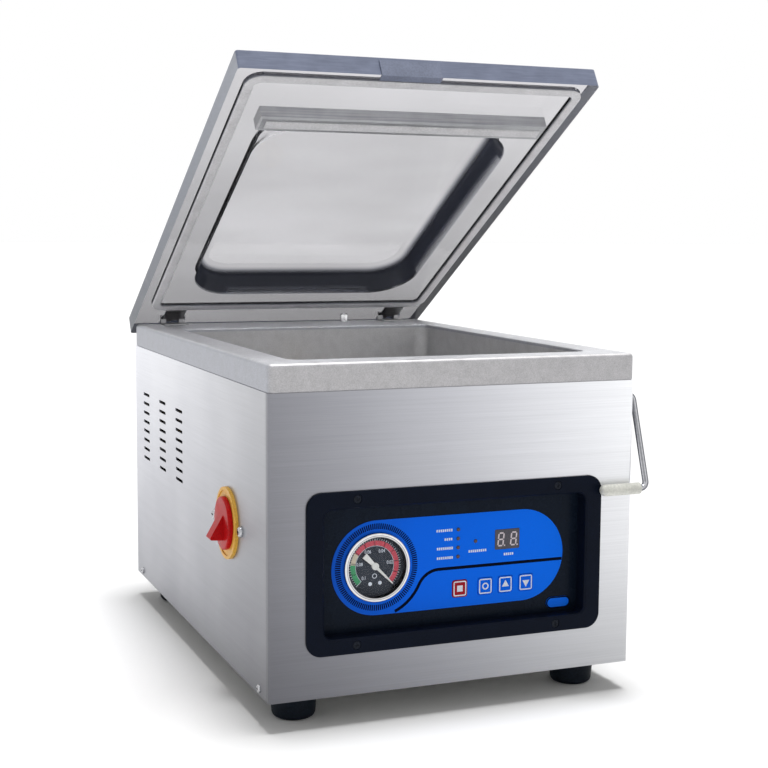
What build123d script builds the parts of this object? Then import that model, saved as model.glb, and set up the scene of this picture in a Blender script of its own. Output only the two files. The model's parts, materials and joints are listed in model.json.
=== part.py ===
from build123d import *
import os

# Vacuum chamber sealer for a table top, real size in millimetres.
# X runs to the right, Y to the back and Z up. The origin is on the table, midway between the feet.
# Lid pieces are drawn shut and then swung open, because the lid rests open.

os.makedirs("parts", exist_ok=True)

# ---- Driving dimensions ----
body_width = 330.0
body_depth = 478.0
foot_height = 25.0
panel_height = 249.0
rim_height = 23.0
rim_side = 28.0
rim_front = 31.0
rim_back = 91.0
chamber_depth = 57.0
lid_side = 2.0
lid_inset = 13.7
lid_tail = 23.1
lid_thickness = 18.0
lid_open = 30.0
bezel_width = 268.0
bezel_height = 133.8
bezel_bottom = 59.5
gauge_diameter = 58.0
lift_travel = 10.0

# ---- Clearances ----
moving_gap = 0.3
running_gap = 0.05
seam_gap = 0.4
hole_gap = 0.2
past = 1.0

# ---- Heights and faces that several pieces share ----
half_width = body_width / 2
half_depth = body_depth / 2
panel_bottom = foot_height
panel_top = panel_bottom + panel_height
rim_top = panel_top + rim_height
chamber_width = body_width - 2 * rim_side
chamber_front = -half_depth + rim_front
chamber_back = half_depth - rim_back


def block(x0, x1, y0, y1, z0, z1):
    """A box between two corners."""
    middle = Pos((x0 + x1) / 2, (y0 + y1) / 2, (z0 + z1) / 2)
    return middle * Box(x1 - x0, y1 - y0, z1 - z0)


def rod_x(radius, x0, x1, y, z):
    """A cylinder that runs left to right."""
    return Pos((x0 + x1) / 2, y, z) * Rot(0, 90, 0) * Cylinder(radius, x1 - x0)


def rod_y(radius, y0, y1, x, z):
    """A cylinder that runs front to back."""
    return Pos(x, (y0 + y1) / 2, z) * Rot(90, 0, 0) * Cylinder(radius, y1 - y0)


def rod_z(radius, z0, z1, x, y):
    """A cylinder that stands upright."""
    return Pos(x, y, (z0 + z1) / 2) * Cylinder(radius, z1 - z0)


def slab_x(outline, x0, x1, y, z):
    """An outline seen from the right, run between two distances across."""
    side = Plane(origin=(x0, y, z), x_dir=(0, 1, 0), z_dir=(1, 0, 0))
    return side * extrude(outline, x1 - x0)


def slab_y(outline, y0, y1, x, z):
    """An outline seen from the front, run between two depths."""
    return Pos(x, y1, z) * Rot(90, 0, 0) * extrude(outline, y1 - y0)


def slab_z(outline, z0, z1, x=0.0, y=0.0):
    """An outline seen from above, run between two heights."""
    return Pos(x, y, z0) * extrude(outline, z1 - z0)


def rounded(width, height, radius):
    """A rectangle with round corners."""
    return RectangleRounded(width, height, radius)


def save(name, *pieces):
    """Write one sub-part; the like pieces of one name stay separate solids."""
    solids = [solid for piece in pieces for solid in piece.solids()]
    whole = solids[0] if len(solids) == 1 else Compound(solids)
    export_step(whole, f"parts/{name}.step")


def screw(head_radius, head_height, shank_radius, shank_length):
    """A cross-head screw whose head stands on z = 0 with the shank below."""
    recess_width = head_radius * 0.28
    recess_length = head_radius * 1.1
    recess_bottom = head_height * 0.45
    head = rod_z(head_radius, 0, head_height, 0, 0)
    head = fillet(head.edges().sort_by(Axis.Z)[-1], head_height * 0.7)
    for turn in (0, 90):
        bar = Box(recess_length, recess_width, head_height)
        head -= Pos(0, 0, recess_bottom + head_height / 2) * Rot(0, 0, turn) * bar
    return head + rod_z(shank_radius, -shank_length, 0, 0, 0)


facing_left = Rot(0, -90, 0)
facing_right = Rot(0, 90, 0)
facing_front = Rot(90, 0, 0)
facing_back = Rot(-90, 0, 0)

# ---- Feet: four rubber feet, each held by a screw and nut through the tray ----
sheet = 1.5
tray_sheet = 2.0
foot_inset_x = 34.0
foot_inset_y = 40.0
foot_top_radius = 20.0
foot_bottom_radius = 18.0
foot_edge = 5.0
foot_screw_radius = 3.0
foot_head_radius = 6.0
foot_head_height = 4.0
foot_recess_depth = 9.0
foot_nut_radius = 6.0
foot_nut_height = 5.0
foot_x = half_width - foot_inset_x
foot_y = half_depth - foot_inset_y
tray_top = panel_bottom + tray_sheet
foot_places = [(x, y) for x in (-foot_x, foot_x) for y in (-foot_y, foot_y)]


def foot(x, y):
    """A tapered rubber foot with a screw recess from below."""
    body = Pos(x, y, foot_height / 2) * Cone(foot_bottom_radius, foot_top_radius, foot_height)
    body = fillet(body.edges().filter_by(GeomType.CIRCLE).sort_by(Axis.Z)[0], foot_edge)
    body -= rod_z(foot_head_radius + hole_gap, -past, foot_recess_depth, x, y)
    return body - rod_z(foot_screw_radius + hole_gap, 0, foot_height + past, x, y)


def foot_screw(x, y):
    """A screw up through the foot, with its nut on the tray."""
    head = rod_z(foot_head_radius, foot_recess_depth - foot_head_height, foot_recess_depth, x, y)
    nut_top = tray_top + foot_nut_height
    shank = rod_z(foot_screw_radius, foot_recess_depth, nut_top, x, y)
    nut = slab_z(RegularPolygon(foot_nut_radius, 6), tray_top, nut_top, x, y)
    return head + shank + nut


save("rubber_feet", *[foot(x, y) for x, y in foot_places])
save("foot_screws", *[foot_screw(x, y) for x, y in foot_places])

# ---- Panel screws: along the bottom of both sides and of the back ----
panel_screw_inset = 25.2
panel_screw_rise = 5.7
back_screw_inset = 17.0
panel_screw_head = 3.4
panel_screw_height = 1.8
panel_screw_shank = 1.8
panel_screw_length = 6.0
panel_screw_y = half_depth - panel_screw_inset
panel_screw_z = panel_bottom + panel_screw_rise
back_screw_x = half_width - back_screw_inset
small_screw = screw(panel_screw_head, panel_screw_height, panel_screw_shank, panel_screw_length)
panel_screws = []
for y in (-panel_screw_y, panel_screw_y):
    panel_screws.append(Pos(-half_width, y, panel_screw_z) * facing_left * small_screw)
    panel_screws.append(Pos(half_width, y, panel_screw_z) * facing_right * small_screw)
for x in (-back_screw_x, back_screw_x):
    panel_screws.append(Pos(x, half_depth, panel_screw_z) * facing_back * small_screw)
save("panel_screws", *panel_screws)


def drill_panel_screws(panel):
    """Open the screw holes in whatever panel crosses them."""
    radius = panel_screw_shank + hole_gap
    reach = panel_screw_length + past
    for y in (-panel_screw_y, panel_screw_y):
        panel -= rod_x(radius, -half_width - past, -half_width + reach, y, panel_screw_z)
        panel -= rod_x(radius, half_width - reach, half_width + past, y, panel_screw_z)
    for x in (-back_screw_x, back_screw_x):
        panel -= rod_y(radius, half_depth - reach, half_depth + past, x, panel_screw_z)
    return panel


# ---- Base tray: a shallow sheet tray that the panels are screwed to ----
inner_x = half_width - sheet
inner_y = half_depth - sheet
tray_lip = 13.0
tray_corner = 3.0
tray_slot_length = 60.0
tray_slot_width = 5.0
tray_slot_pitch = 14.0
tray_slots = 5
tray_outline = rounded(2 * inner_x, 2 * inner_y, tray_corner)
hollow_width = 2 * (inner_x - tray_sheet)
hollow_length = 2 * (inner_y - tray_sheet)
tray_hollow = rounded(hollow_width, hollow_length, tray_corner - tray_sheet)
tray = slab_z(tray_outline, panel_bottom, tray_top + tray_lip)
tray -= slab_z(tray_hollow, tray_top, tray_top + tray_lip + past)
for x, y in foot_places:
    tray -= rod_z(foot_screw_radius + hole_gap, 0, tray_top + past, x, y)
for step in range(tray_slots):
    slot_y = (step - (tray_slots - 1) / 2) * tray_slot_pitch
    slot = SlotOverall(tray_slot_length, tray_slot_width)
    tray -= slab_z(slot, 0, tray_top + past, -foot_x + tray_slot_length / 2, slot_y)
save("base_tray", drill_panel_screws(tray))

# ---- Control recess: sizes that the front panel, bezel and fascia share ----
bezel_thickness = 2.5
bezel_corner = 13.0
recess_side = 15.0
recess_above = 14.6
recess_below = 13.3
recess_corner = 7.0
recess_depth = 12.5
recess_wall = 2.0
bezel_z = bezel_bottom + bezel_height / 2
recess_width = bezel_width - 2 * recess_side
recess_height = bezel_height - recess_below - recess_above
recess_bottom = bezel_bottom + recess_below
recess_z = recess_bottom + recess_height / 2
fascia_front = -half_depth + recess_depth
box_width = recess_width + 2 * recess_wall
box_height = recess_height + 2 * recess_wall

# ---- Front panel: brushed steel that wraps a little way round both corners ----
bend = 3.0
side_return = 6.0
top_flange = 12.0
flange_inset = 14.0
bezel_screw_radius = 1.6
bezel_screw_side = 43.0
bezel_screw_below = 7.1
bezel_screw_above = 6.7
bezel_screw_x = bezel_width / 2 - bezel_screw_side
bezel_screw_low = bezel_bottom + bezel_screw_below
bezel_screw_high = bezel_bottom + bezel_height - bezel_screw_above
bezel_screw_places = []
for x in (-bezel_screw_x, bezel_screw_x):
    bezel_screw_places += [(x, bezel_screw_low), (x, bezel_screw_high)]
return_end = -half_depth + side_return
front_panel = block(-half_width, half_width, -half_depth, return_end, panel_bottom, panel_top)
front_panel = fillet(front_panel.edges().filter_by(Axis.Z).group_by(Axis.Y)[0], bend)
front_hollow = block(-inner_x, inner_x, -inner_y, return_end + past, panel_bottom - past, panel_top + past)
front_hollow = fillet(front_hollow.edges().filter_by(Axis.Z).group_by(Axis.Y)[0], bend - sheet)
front_panel -= front_hollow
flange_x = inner_x - flange_inset
front_panel += block(-flange_x, flange_x, -inner_y, -inner_y + top_flange, panel_top - sheet, panel_top)
front_window = rounded(box_width + 2 * hole_gap, box_height + 2 * hole_gap, recess_corner + recess_wall)
front_panel -= slab_y(front_window, -half_depth - past, -inner_y + past, 0, recess_z)
for x, z in bezel_screw_places:
    front_panel -= rod_y(bezel_screw_radius + hole_gap, -half_depth - past, -inner_y + past, x, z)
save("front_panel", front_panel)

# ---- Side panels: brushed steel with three columns of vent slots ----
slot_length = 27.0
slot_height = 3.0
slot_columns = (188.8, 117.0, 48.6)
slot_rows = 8
slot_drop = 48.3
slot_pitch = 9.65
switch_inset = 114.5
switch_rise = 125.0
switch_screw_spacing = 80.7
switch_screw_radius = 2.2
switch_hole_radius = 12.0
lever_pivot_inset = 18.7
lever_pivot_drop = 14.6
lever_radius = 2.75
bush_wall = 2.45
slot_top = panel_top - slot_drop
switch_y = -half_depth + switch_inset
switch_z = panel_bottom + switch_rise
lever_pivot_y = -half_depth + lever_pivot_inset
lever_pivot_z = panel_top - lever_pivot_drop
bush_radius = lever_radius + bush_wall
panel_front = return_end + seam_gap
side_flange_back = inner_y - flange_inset
side_flange_front = -inner_y + flange_inset + top_flange


def side_panel(side):
    """One side panel: side is -1 for the left and 1 for the right."""
    face = side * half_width
    inside = side * inner_x
    low_x, high_x = sorted((face, inside))
    panel = block(low_x, high_x, panel_front, half_depth, panel_bottom, panel_top)
    low_x, high_x = sorted((inside, inside - side * top_flange))
    panel += block(low_x, high_x, side_flange_front, side_flange_back, panel_top - sheet, panel_top)
    low_x, high_x = sorted((face + side * past, inside - side * past))
    vent = SlotOverall(slot_length, slot_height)
    for column in slot_columns:
        for row in range(slot_rows):
            panel -= slab_x(vent, low_x, high_x, column, slot_top - row * slot_pitch)
    return drill_panel_screws(panel)


left_panel = side_panel(-1)
left_panel -= rod_x(switch_hole_radius, -half_width - past, -inner_x + past, switch_y, switch_z)
for end in (-0.5, 0.5):
    screw_y = switch_y + end * switch_screw_spacing
    hole_radius = switch_screw_radius + hole_gap
    left_panel -= rod_x(hole_radius, -half_width - past, -inner_x + past, screw_y, switch_z)
save("left_panel", left_panel)

right_panel = side_panel(1)
right_panel -= rod_x(bush_radius, inner_x - past, half_width + past, lever_pivot_y, lever_pivot_z)
save("right_panel", right_panel)

# ---- Back panel: louvres behind the fan, the power inlet and the gas port ----
fan_x = 35.0
fan_z = 110.0
louvre_length = 84.0
louvre_height = 4.0
louvre_pitch = 10.0
louvres = 8
inlet_x = -110.0
inlet_z = 72.0
inlet_width = 28.0
inlet_height = 21.0
inlet_corner = 3.0
gas_x = -60.0
gas_z = 200.0
gas_shank_radius = 5.0
back_panel = block(-inner_x, inner_x, inner_y, half_depth, panel_bottom, panel_top)
back_panel += block(-flange_x, flange_x, inner_y - top_flange, inner_y, panel_top - sheet, panel_top)
for row in range(louvres):
    louvre_z = fan_z + (row - (louvres - 1) / 2) * louvre_pitch
    louvre = SlotOverall(louvre_length, louvre_height)
    back_panel -= slab_y(louvre, inner_y - past, half_depth + past, fan_x, louvre_z)
inlet_hole = rounded(inlet_width + 2 * hole_gap, inlet_height + 2 * hole_gap, inlet_corner)
back_panel -= slab_y(inlet_hole, inner_y - past, half_depth + past, inlet_x, inlet_z)
back_panel -= rod_y(gas_shank_radius + hole_gap, inner_y - past, half_depth + past, gas_x, gas_z)
save("back_panel", drill_panel_screws(back_panel))

# ---- Top rim: the thick frame round the chamber mouth, with a shadow line under it ----
rim_corner = 5.0
rim_edge = 3.5
rim_wall = 2.5
rim_plate = 3.0
mouth_corner = 13.0
mouth_edge = 1.0
shadow_depth = 1.0
shadow_height = 0.8
plunger_x = 65.0
plunger_inset = 28.0
plunger_y = half_depth - plunger_inset
plunger_radius = 4.5
plate_bottom = rim_top - rim_plate
chamber_length = chamber_back - chamber_front
chamber_y = (chamber_front + chamber_back) / 2
rim_outline = rounded(body_width, body_depth, rim_corner)
rim_hollow = rounded(body_width - 2 * rim_wall, body_depth - 2 * rim_wall, rim_corner - rim_wall)
mouth = rounded(chamber_width, chamber_length, mouth_corner)
rim = slab_z(rim_outline, panel_top, rim_top)
rim = fillet(rim.faces().sort_by(Axis.Z)[-1].edges(), rim_edge)
rim -= slab_z(rim_hollow, panel_top - past, plate_bottom)
rim -= slab_z(mouth, panel_top, rim_top + past, 0, chamber_y)
mouth_edges = rim.faces().sort_by(Axis.Z)[-1].inner_wires()[0].edges()
rim = fillet(mouth_edges, mouth_edge)
shadow = slab_z(rim_outline, panel_top - past, panel_top + shadow_height)
core_width = body_width - 2 * shadow_depth
core_depth = body_depth - 2 * shadow_depth
shadow_core = rounded(core_width, core_depth, rim_corner - shadow_depth)
rim -= shadow - slab_z(shadow_core, panel_top - past, panel_top + shadow_height)
rim -= rod_z(plunger_radius + running_gap, plate_bottom - past, rim_top + past, plunger_x, plunger_y)
save("top_rim", rim)

# ---- Chamber tub: pressed steel, with guide posts and gas nozzles welded to its floor ----
tub_wall = 2.0
tub_flange = 12.0
tub_bend = 6.0
port_radius = 10.0
port_inset = 38.0
seal_inset = 44.0
post_x = 95.0
post_radius = 4.0
post_cover = 4.0
nozzle_x = 60.0
nozzle_behind = 19.0
nozzle_radius = 3.0
nozzle_height = 16.0
pad_reach = 10.5
port_y = chamber_back - port_inset
seal_y = chamber_front + seal_inset
nozzle_y = seal_y + nozzle_behind
tub_floor = rim_top - chamber_depth
tub_under = tub_floor - tub_wall
pad_bottom = rim_top - pad_reach
seal_top = pad_bottom - moving_gap - lift_travel
post_top = seal_top - post_cover


def round_the_mouth(margin):
    """The outline of the chamber mouth, grown outward by a margin."""
    return rounded(chamber_width + 2 * margin, chamber_length + 2 * margin, mouth_corner + margin)


tub_outline = round_the_mouth(tub_wall)
tub_lip = round_the_mouth(tub_flange)
tub = slab_z(tub_outline, tub_under, plate_bottom, 0, chamber_y)
tub = fillet(tub.faces().sort_by(Axis.Z)[0].edges(), tub_bend + tub_wall)
tub += slab_z(tub_lip, plate_bottom - tub_wall, plate_bottom, 0, chamber_y)
hollow = slab_z(mouth, tub_floor, plate_bottom + past, 0, chamber_y)
tub -= fillet(hollow.faces().sort_by(Axis.Z)[0].edges(), tub_bend)
tub -= rod_z(port_radius + hole_gap, tub_under - past, tub_floor + past, 0, port_y)
for side in (-1, 1):
    tub += rod_z(post_radius, tub_floor, post_top, side * post_x, seal_y)
    tub += rod_z(nozzle_radius, tub_floor, tub_floor + nozzle_height, side * nozzle_x, nozzle_y)
save("chamber_tub", tub)

# ---- Hose run under the tub: sizes that the hoses and their barbs share ----
hose_drop = 32.0
hose_bend = 18.0
barb_radius = 5.5
main_hose_z = tub_under - hose_drop

# ---- Vacuum port: a strainer cap in the tub floor, with a nut and hose barb below ----
strainer_radius = 14.0
strainer_height = 4.0
port_nut_radius = 14.0
port_nut_height = 6.0
port = rod_z(strainer_radius, tub_floor, tub_floor + strainer_height, 0, port_y)
port = fillet(port.edges().sort_by(Axis.Z)[-1], strainer_height / 2)
port_nut_bottom = tub_under - port_nut_height
port += rod_z(port_radius, tub_under, tub_floor, 0, port_y)
port += slab_z(RegularPolygon(port_nut_radius, 6), port_nut_bottom, tub_under, 0, port_y)
port += rod_z(barb_radius, main_hose_z + hose_bend, port_nut_bottom, 0, port_y)
save("port_fitting", port)

# ---- Seal bar: lifted on two posts by a bladder, with a heater strip under woven tape ----
bar_end_gap = 7.0
bar_width = 18.0
bar_edge = 1.5
bladder_height = 16.0
bladder_half = 82.0
bladder_width = 16.0
bladder_edge = 3.0
strip_width = 5.0
strip_thickness = 0.4
tape_thickness = 0.3
tape_width = 14.0
clip_length = 7.0
clip_width = 12.0
clip_drop = 6.0
bar_half = chamber_width / 2 - bar_end_gap
bar_top = seal_top - tape_thickness
bar_bottom = tub_floor + bladder_height
clip_bottom = bar_top - clip_drop
clip_y = (seal_y - clip_width / 2, seal_y + clip_width / 2)
tape_half = bar_half - clip_length - seam_gap
bar = block(-bar_half, bar_half, seal_y - bar_width / 2, seal_y + bar_width / 2, bar_bottom, bar_top)
bar = chamfer(bar.edges().filter_by(Axis.X), bar_edge)
for side in (-1, 1):
    clip_in, clip_out = sorted((side * (bar_half - clip_length), side * (bar_half + past)))
    bar += block(clip_in, clip_out, *clip_y, clip_bottom, seal_top)
    bore_top = post_top + moving_gap
    bar -= rod_z(post_radius + running_gap, bar_bottom - past, bore_top, side * post_x, seal_y)
strip_y = (seal_y - strip_width / 2, seal_y + strip_width / 2)
heater_strip = block(-tape_half, tape_half, *strip_y, bar_top - strip_thickness, bar_top)
save("seal_bar", bar - heater_strip)
save("heater_strip", heater_strip)
tape_y = (seal_y - tape_width / 2, seal_y + tape_width / 2)
save("seal_tape", block(-tape_half, tape_half, *tape_y, bar_top, seal_top))
bladder_outline = rounded(2 * bladder_half, bladder_width, bladder_width / 2 - past)
bladder = slab_z(bladder_outline, tub_floor, bar_bottom - moving_gap, 0, seal_y)
bladder = fillet(bladder.faces().sort_by(Axis.Z)[-1].edges(), bladder_edge)
save("lift_bladder", bladder)

# ---- Control recess: bezel frame, its screws and the fascia plate behind ----
bezel_front = -half_depth - bezel_thickness
bezel_edge = 1.2
recess_chamfer = 1.5
bezel_head_radius = 3.5
bezel_head_depth = 1.3
bezel_screw_length = 7.0
bezel = slab_y(rounded(bezel_width, bezel_height, bezel_corner), bezel_front, -half_depth, 0, bezel_z)
bezel = fillet(bezel.faces().sort_by(Axis.Y)[0].edges(), bezel_edge)
wall_outline = rounded(box_width, box_height, recess_corner + recess_wall)
bezel += slab_y(wall_outline, -half_depth, fascia_front, 0, recess_z)
recess_outline = rounded(recess_width, recess_height, recess_corner)
bezel -= slab_y(recess_outline, bezel_front - past, fascia_front + past, 0, recess_z)
bezel = chamfer(bezel.faces().sort_by(Axis.Y)[0].inner_wires()[0].edges(), recess_chamfer)
for x, z in bezel_screw_places:
    bezel -= rod_y(bezel_head_radius + hole_gap, bezel_front - past, bezel_front + bezel_head_depth, x, z)
    bezel -= rod_y(bezel_screw_radius + hole_gap, bezel_front, -half_depth + past, x, z)
save("bezel_frame", bezel)
bezel_screw = screw(bezel_head_radius, bezel_head_depth, bezel_screw_radius, bezel_screw_length)
bezel_seat = bezel_front + bezel_head_depth
bezel_screws = [Pos(x, bezel_seat, z) * facing_front * bezel_screw for x, z in bezel_screw_places]
save("bezel_screws", *bezel_screws)

# ---- Control panel: sizes of what shows through the overlay ----
overlay_width = 212.7
overlay_height = 79.4
overlay_x = -1.65
overlay_z = recess_z - 0.35
overlay_thickness = 0.4
gauge_x = -68.5
gauge_z = overlay_z + 0.6
ring_cover = 2.0
gauge_case_radius = gauge_diameter / 2 - ring_cover
key_width = 13.7
key_height = 14.5
key_corner = 2.0
key_z = overlay_z - 24.0
key_places = {"stop_key": 6.9, "set_key": 30.7, "up_key": 49.7, "down_key": 69.2}
display_x = 51.0
display_z = overlay_z + 15.2
display_width = 23.0
display_height = 17.0
display_corner = 0.8
led_radius = 1.6
led_x = 5.0
led_z = overlay_z + 26.6
led_pitch = 7.7
led_rows = 4
run_led_x = 21.2
run_led_z = overlay_z + 15.5
led_places = [(led_x, led_z - led_pitch * row) for row in range(led_rows)]
led_places.append((run_led_x, run_led_z))
fascia_thickness = 1.5
fascia_margin = 3.0
overlay_front = fascia_front - overlay_thickness
fascia_back = fascia_front + fascia_thickness
board_gap = 6.0
board_front = fascia_back + board_gap
board_thickness = 1.6


def cut_controls(plate):
    """Open the holes for the gauge, display, keys and lamps."""
    y0 = overlay_front - past
    y1 = fascia_back + past
    plate -= rod_y(gauge_case_radius + hole_gap, y0, y1, gauge_x, gauge_z)
    window_width = display_width + 2 * hole_gap
    window_height = display_height + 2 * hole_gap
    window = rounded(window_width, window_height, display_corner + hole_gap)
    plate -= slab_y(window, y0, y1, display_x, display_z)
    hole_width = key_width + 2 * moving_gap
    hole_height = key_height + 2 * moving_gap
    key_hole = rounded(hole_width, hole_height, key_corner + moving_gap)
    for x in key_places.values():
        plate -= slab_y(key_hole, y0, y1, x, key_z)
    for x, z in led_places:
        plate -= rod_y(led_radius + running_gap, y0, y1, x, z)
    return plate


# ---- Fascia plate, with studs behind for the board, and the printed overlay on it ----
stud_radius = 2.5
board_left = -25.0
board_right = 108.0
board_low = overlay_z - 41.4
board_high = overlay_z + 42.6
stud_inset = 5.0
fascia_width = box_width + 2 * fascia_margin
fascia_height = box_height + 2 * fascia_margin
fascia_outline = rounded(fascia_width, fascia_height, recess_corner)
fascia = cut_controls(slab_y(fascia_outline, fascia_front, fascia_back, 0, recess_z))
for x in (board_left + stud_inset, board_right - stud_inset):
    for z in (board_low + stud_inset, board_high - stud_inset):
        fascia += rod_y(stud_radius, fascia_back, board_front, x, z)
save("fascia_plate", fascia)
overlay_outline = SlotOverall(overlay_width, overlay_height)
overlay = slab_y(overlay_outline, overlay_front, fascia_front, overlay_x, overlay_z)
save("control_overlay", cut_controls(overlay))

# ---- Control board with a switch behind each key ----
board_back = board_front + board_thickness
switch_side = 6.0
switch_corner = 0.5
relay_width = 30.0
relay_height = 28.0
relay_depth = 9.0
terminal_width = 35.0
terminal_height = 15.0
terminal_depth = 14.0
terminal_x = 77.5
terminal_z = overlay_z - 22.9
key_travel = 0.8
key_proud = 0.6
key_edge = 0.4
key_collar = 1.0
key_collar_thickness = 1.2
key_face = overlay_front - key_proud
key_collar_front = fascia_back + moving_gap
key_back = key_collar_front + key_collar_thickness
key_switch_front = key_back + key_travel + moving_gap
board = block(board_left, board_right, board_front, board_back, board_low, board_high)
for x in key_places.values():
    key_switch = rounded(switch_side, switch_side, switch_corner)
    board += slab_y(key_switch, key_switch_front, board_front, x, key_z)
relay = Rectangle(relay_width, relay_height)
board += slab_y(relay, board_back, board_back + relay_depth, 0, gauge_z)
terminal = Rectangle(terminal_width, terminal_height)
board += slab_y(terminal, board_back, board_back + terminal_depth, terminal_x, terminal_z)
save("control_board", board)

# ---- Keys: four caps that press in a little way ----
for name, x in key_places.items():
    key = slab_y(rounded(key_width, key_height, key_corner), key_face, key_back, x, key_z)
    key = fillet(key.faces().sort_by(Axis.Y)[0].edges(), key_edge)
    collar = rounded(key_width + 2 * key_collar, key_height + 2 * key_collar, key_corner)
    key += slab_y(collar, key_collar_front, key_back, x, key_z)
    save(name, key)

# ---- Status lamps, number display and the blank badge ----
lamp_proud = 0.8
lamps = []
for x, z in led_places:
    lamp = rod_y(led_radius, overlay_front - lamp_proud, board_front, x, z)
    lamps.append(fillet(lamp.edges().filter_by(GeomType.CIRCLE).sort_by(Axis.Y)[0], led_radius * 0.4))
save("status_lamps", *lamps)
display_proud = 0.2
display_outline = rounded(display_width, display_height, display_corner)
display_front = overlay_front - display_proud
display = slab_y(display_outline, display_front, board_front, display_x, display_z)
save("number_display", display)
badge_x = 101.1
badge_z = overlay_z - 44.5
badge_width = 23.0
badge_height = 10.0
badge_thickness = 0.9
badge_edge = 0.4
badge_outline = SlotOverall(badge_width, badge_height)
badge = slab_y(badge_outline, fascia_front - badge_thickness, fascia_front, badge_x, badge_z)
save("model_badge", fillet(badge.faces().sort_by(Axis.Y)[0].edges(), badge_edge))

# ---- Vacuum gauge: case, dial, needle, lens and chrome ring ----
gauge_depth = 27.0
gauge_wall = 1.2
dial_depth = 4.4
dial_thickness = 1.0
lens_thickness = 1.5
ring_lip = 1.4
ring_width = 3.5
needle_pin_radius = 0.8
needle_thickness = 0.8
needle_end_gap = 5.0
needle_pin_seat = 8.0
tail_length = 13.5
needle_tip = 0.5
needle_root = 1.3
tail_width = 2.6
hub_radius = 3.0
spigot_radius = 2.0
spigot_length = 6.0
ring_radius = gauge_diameter / 2
ring_inner_radius = ring_radius - ring_width
needle_length = gauge_case_radius - needle_end_gap
case_back = overlay_front + gauge_depth
dial_front = overlay_front + dial_depth
dial_back = dial_front + dial_thickness
cavity_radius = gauge_case_radius - gauge_wall
needle_pin_end = dial_back + needle_pin_seat
case = rod_y(gauge_case_radius, overlay_front, case_back, gauge_x, gauge_z)
case -= rod_y(cavity_radius, overlay_front - past, dial_back, gauge_x, gauge_z)
case -= rod_y(needle_pin_radius + running_gap, dial_back - past, needle_pin_end, gauge_x, gauge_z)
case += rod_y(spigot_radius, case_back, case_back + spigot_length, gauge_x, gauge_z)
save("gauge_case", case)
dial = rod_y(cavity_radius, dial_front, dial_back, gauge_x, gauge_z)
dial -= rod_y(needle_pin_radius + moving_gap, dial_front - past, dial_back + past, gauge_x, gauge_z)
save("gauge_dial", dial)
lens_front = overlay_front - lens_thickness
lens_radius = gauge_case_radius
save("gauge_lens", rod_y(lens_radius, lens_front, overlay_front, gauge_x, gauge_z))
ring_front = lens_front - ring_lip
ring = rod_y(ring_radius, ring_front, overlay_front, gauge_x, gauge_z)
ring = fillet(ring.edges().filter_by(GeomType.CIRCLE).sort_by(Axis.Y)[0], ring_lip * 0.8)
ring -= rod_y(ring_inner_radius, ring_front - past, overlay_front, gauge_x, gauge_z)
ring -= rod_y(lens_radius, lens_front, overlay_front + past, gauge_x, gauge_z)
save("gauge_ring", ring)
needle_front = dial_front - moving_gap - 2 * needle_thickness
pointer_line = Polyline(
    (0, needle_root),
    (needle_length, needle_tip),
    (needle_length, -needle_tip),
    (0, -needle_root),
    close=True,
)
tail_line = Polyline(
    (0, needle_root),
    (-tail_length, tail_width),
    (-tail_length, -tail_width),
    (0, -needle_root),
    close=True,
)
pointer = extrude(make_face(pointer_line), needle_thickness)
pointer += extrude(make_face(tail_line), needle_thickness)
needle_back = needle_front + needle_thickness
needle = Pos(gauge_x, needle_back, gauge_z) * facing_front * Rot(0, 0, -45) * pointer
needle += rod_y(hub_radius, needle_front - needle_thickness / 2, dial_front - moving_gap, gauge_x, gauge_z)
needle += rod_y(needle_pin_radius, needle_front, needle_pin_end - moving_gap, gauge_x, gauge_z)
save("gauge_needle", needle)

# ---- Main switch: yellow plate, red knob, two screws and the switch block behind ----
plate_radius = 31.2
plate_thickness = 2.2
plate_ring = 3.0
plate_ring_height = 0.8
knob_radius = 23.0
knob_base = 4.0
knob_edge = 1.5
knob_shaft_radius = 4.0
knob_shaft_seat = 12.0
handle_top = 8.5
handle_peak = -13.0
handle_foot = -14.0
handle_height = 12.4
handle_half = 6.5
bracket_thickness = 2.0
bracket_half = 47.0
bracket_height = 26.0
bracket_corner = 4.0
switch_block = 42.0
switch_block_corner = 3.0
switch_depth = 36.0
switch_screw_head = 4.7
switch_screw_height = 3.4
switch_screw_length = 6.0
bracket_back = -inner_x + bracket_thickness
plate_face = -half_width - plate_thickness
plate = rod_x(plate_radius, plate_face, -half_width, switch_y, switch_z)
rim_ring = rod_x(plate_radius, plate_face - plate_ring_height, plate_face, switch_y, switch_z)
rim_ring -= rod_x(plate_radius - plate_ring, plate_face - past, plate_face, switch_y, switch_z)
plate += rim_ring
plate -= rod_x(switch_hole_radius, plate_face - past, -half_width + past, switch_y, switch_z)
save("switch_plate", plate)
knob_back = plate_face - moving_gap
knob_face = knob_back - knob_base
knob = rod_x(knob_radius, knob_face, knob_back, switch_y, switch_z)
knob = fillet(knob.edges().filter_by(GeomType.CIRCLE).sort_by(Axis.X)[0], knob_edge)
side_view = Polyline(
    (knob_face, handle_top),
    (knob_face - handle_height, handle_peak),
    (knob_face, handle_foot),
    close=True,
)
wedge = extrude(make_face(side_view), 2 * handle_half)
wedge = fillet(wedge.edges().filter_by(Axis.Z).sort_by(Axis.X)[0], knob_edge)
knob += Pos(0, switch_y + handle_half, switch_z) * facing_front * wedge
shaft_end = bracket_back + knob_shaft_seat
knob += rod_x(knob_shaft_radius, knob_back, shaft_end, switch_y, switch_z)
save("switch_knob", knob)
bracket_outline = rounded(2 * bracket_half, bracket_height, bracket_corner)
switch_body = slab_x(bracket_outline, -inner_x, bracket_back, switch_y, switch_z)
block_outline = rounded(switch_block, switch_block, switch_block_corner)
switch_body += slab_x(block_outline, bracket_back, bracket_back + switch_depth, switch_y, switch_z)
shaft_bore = knob_shaft_radius + running_gap
bore_end = shaft_end + moving_gap
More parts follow.
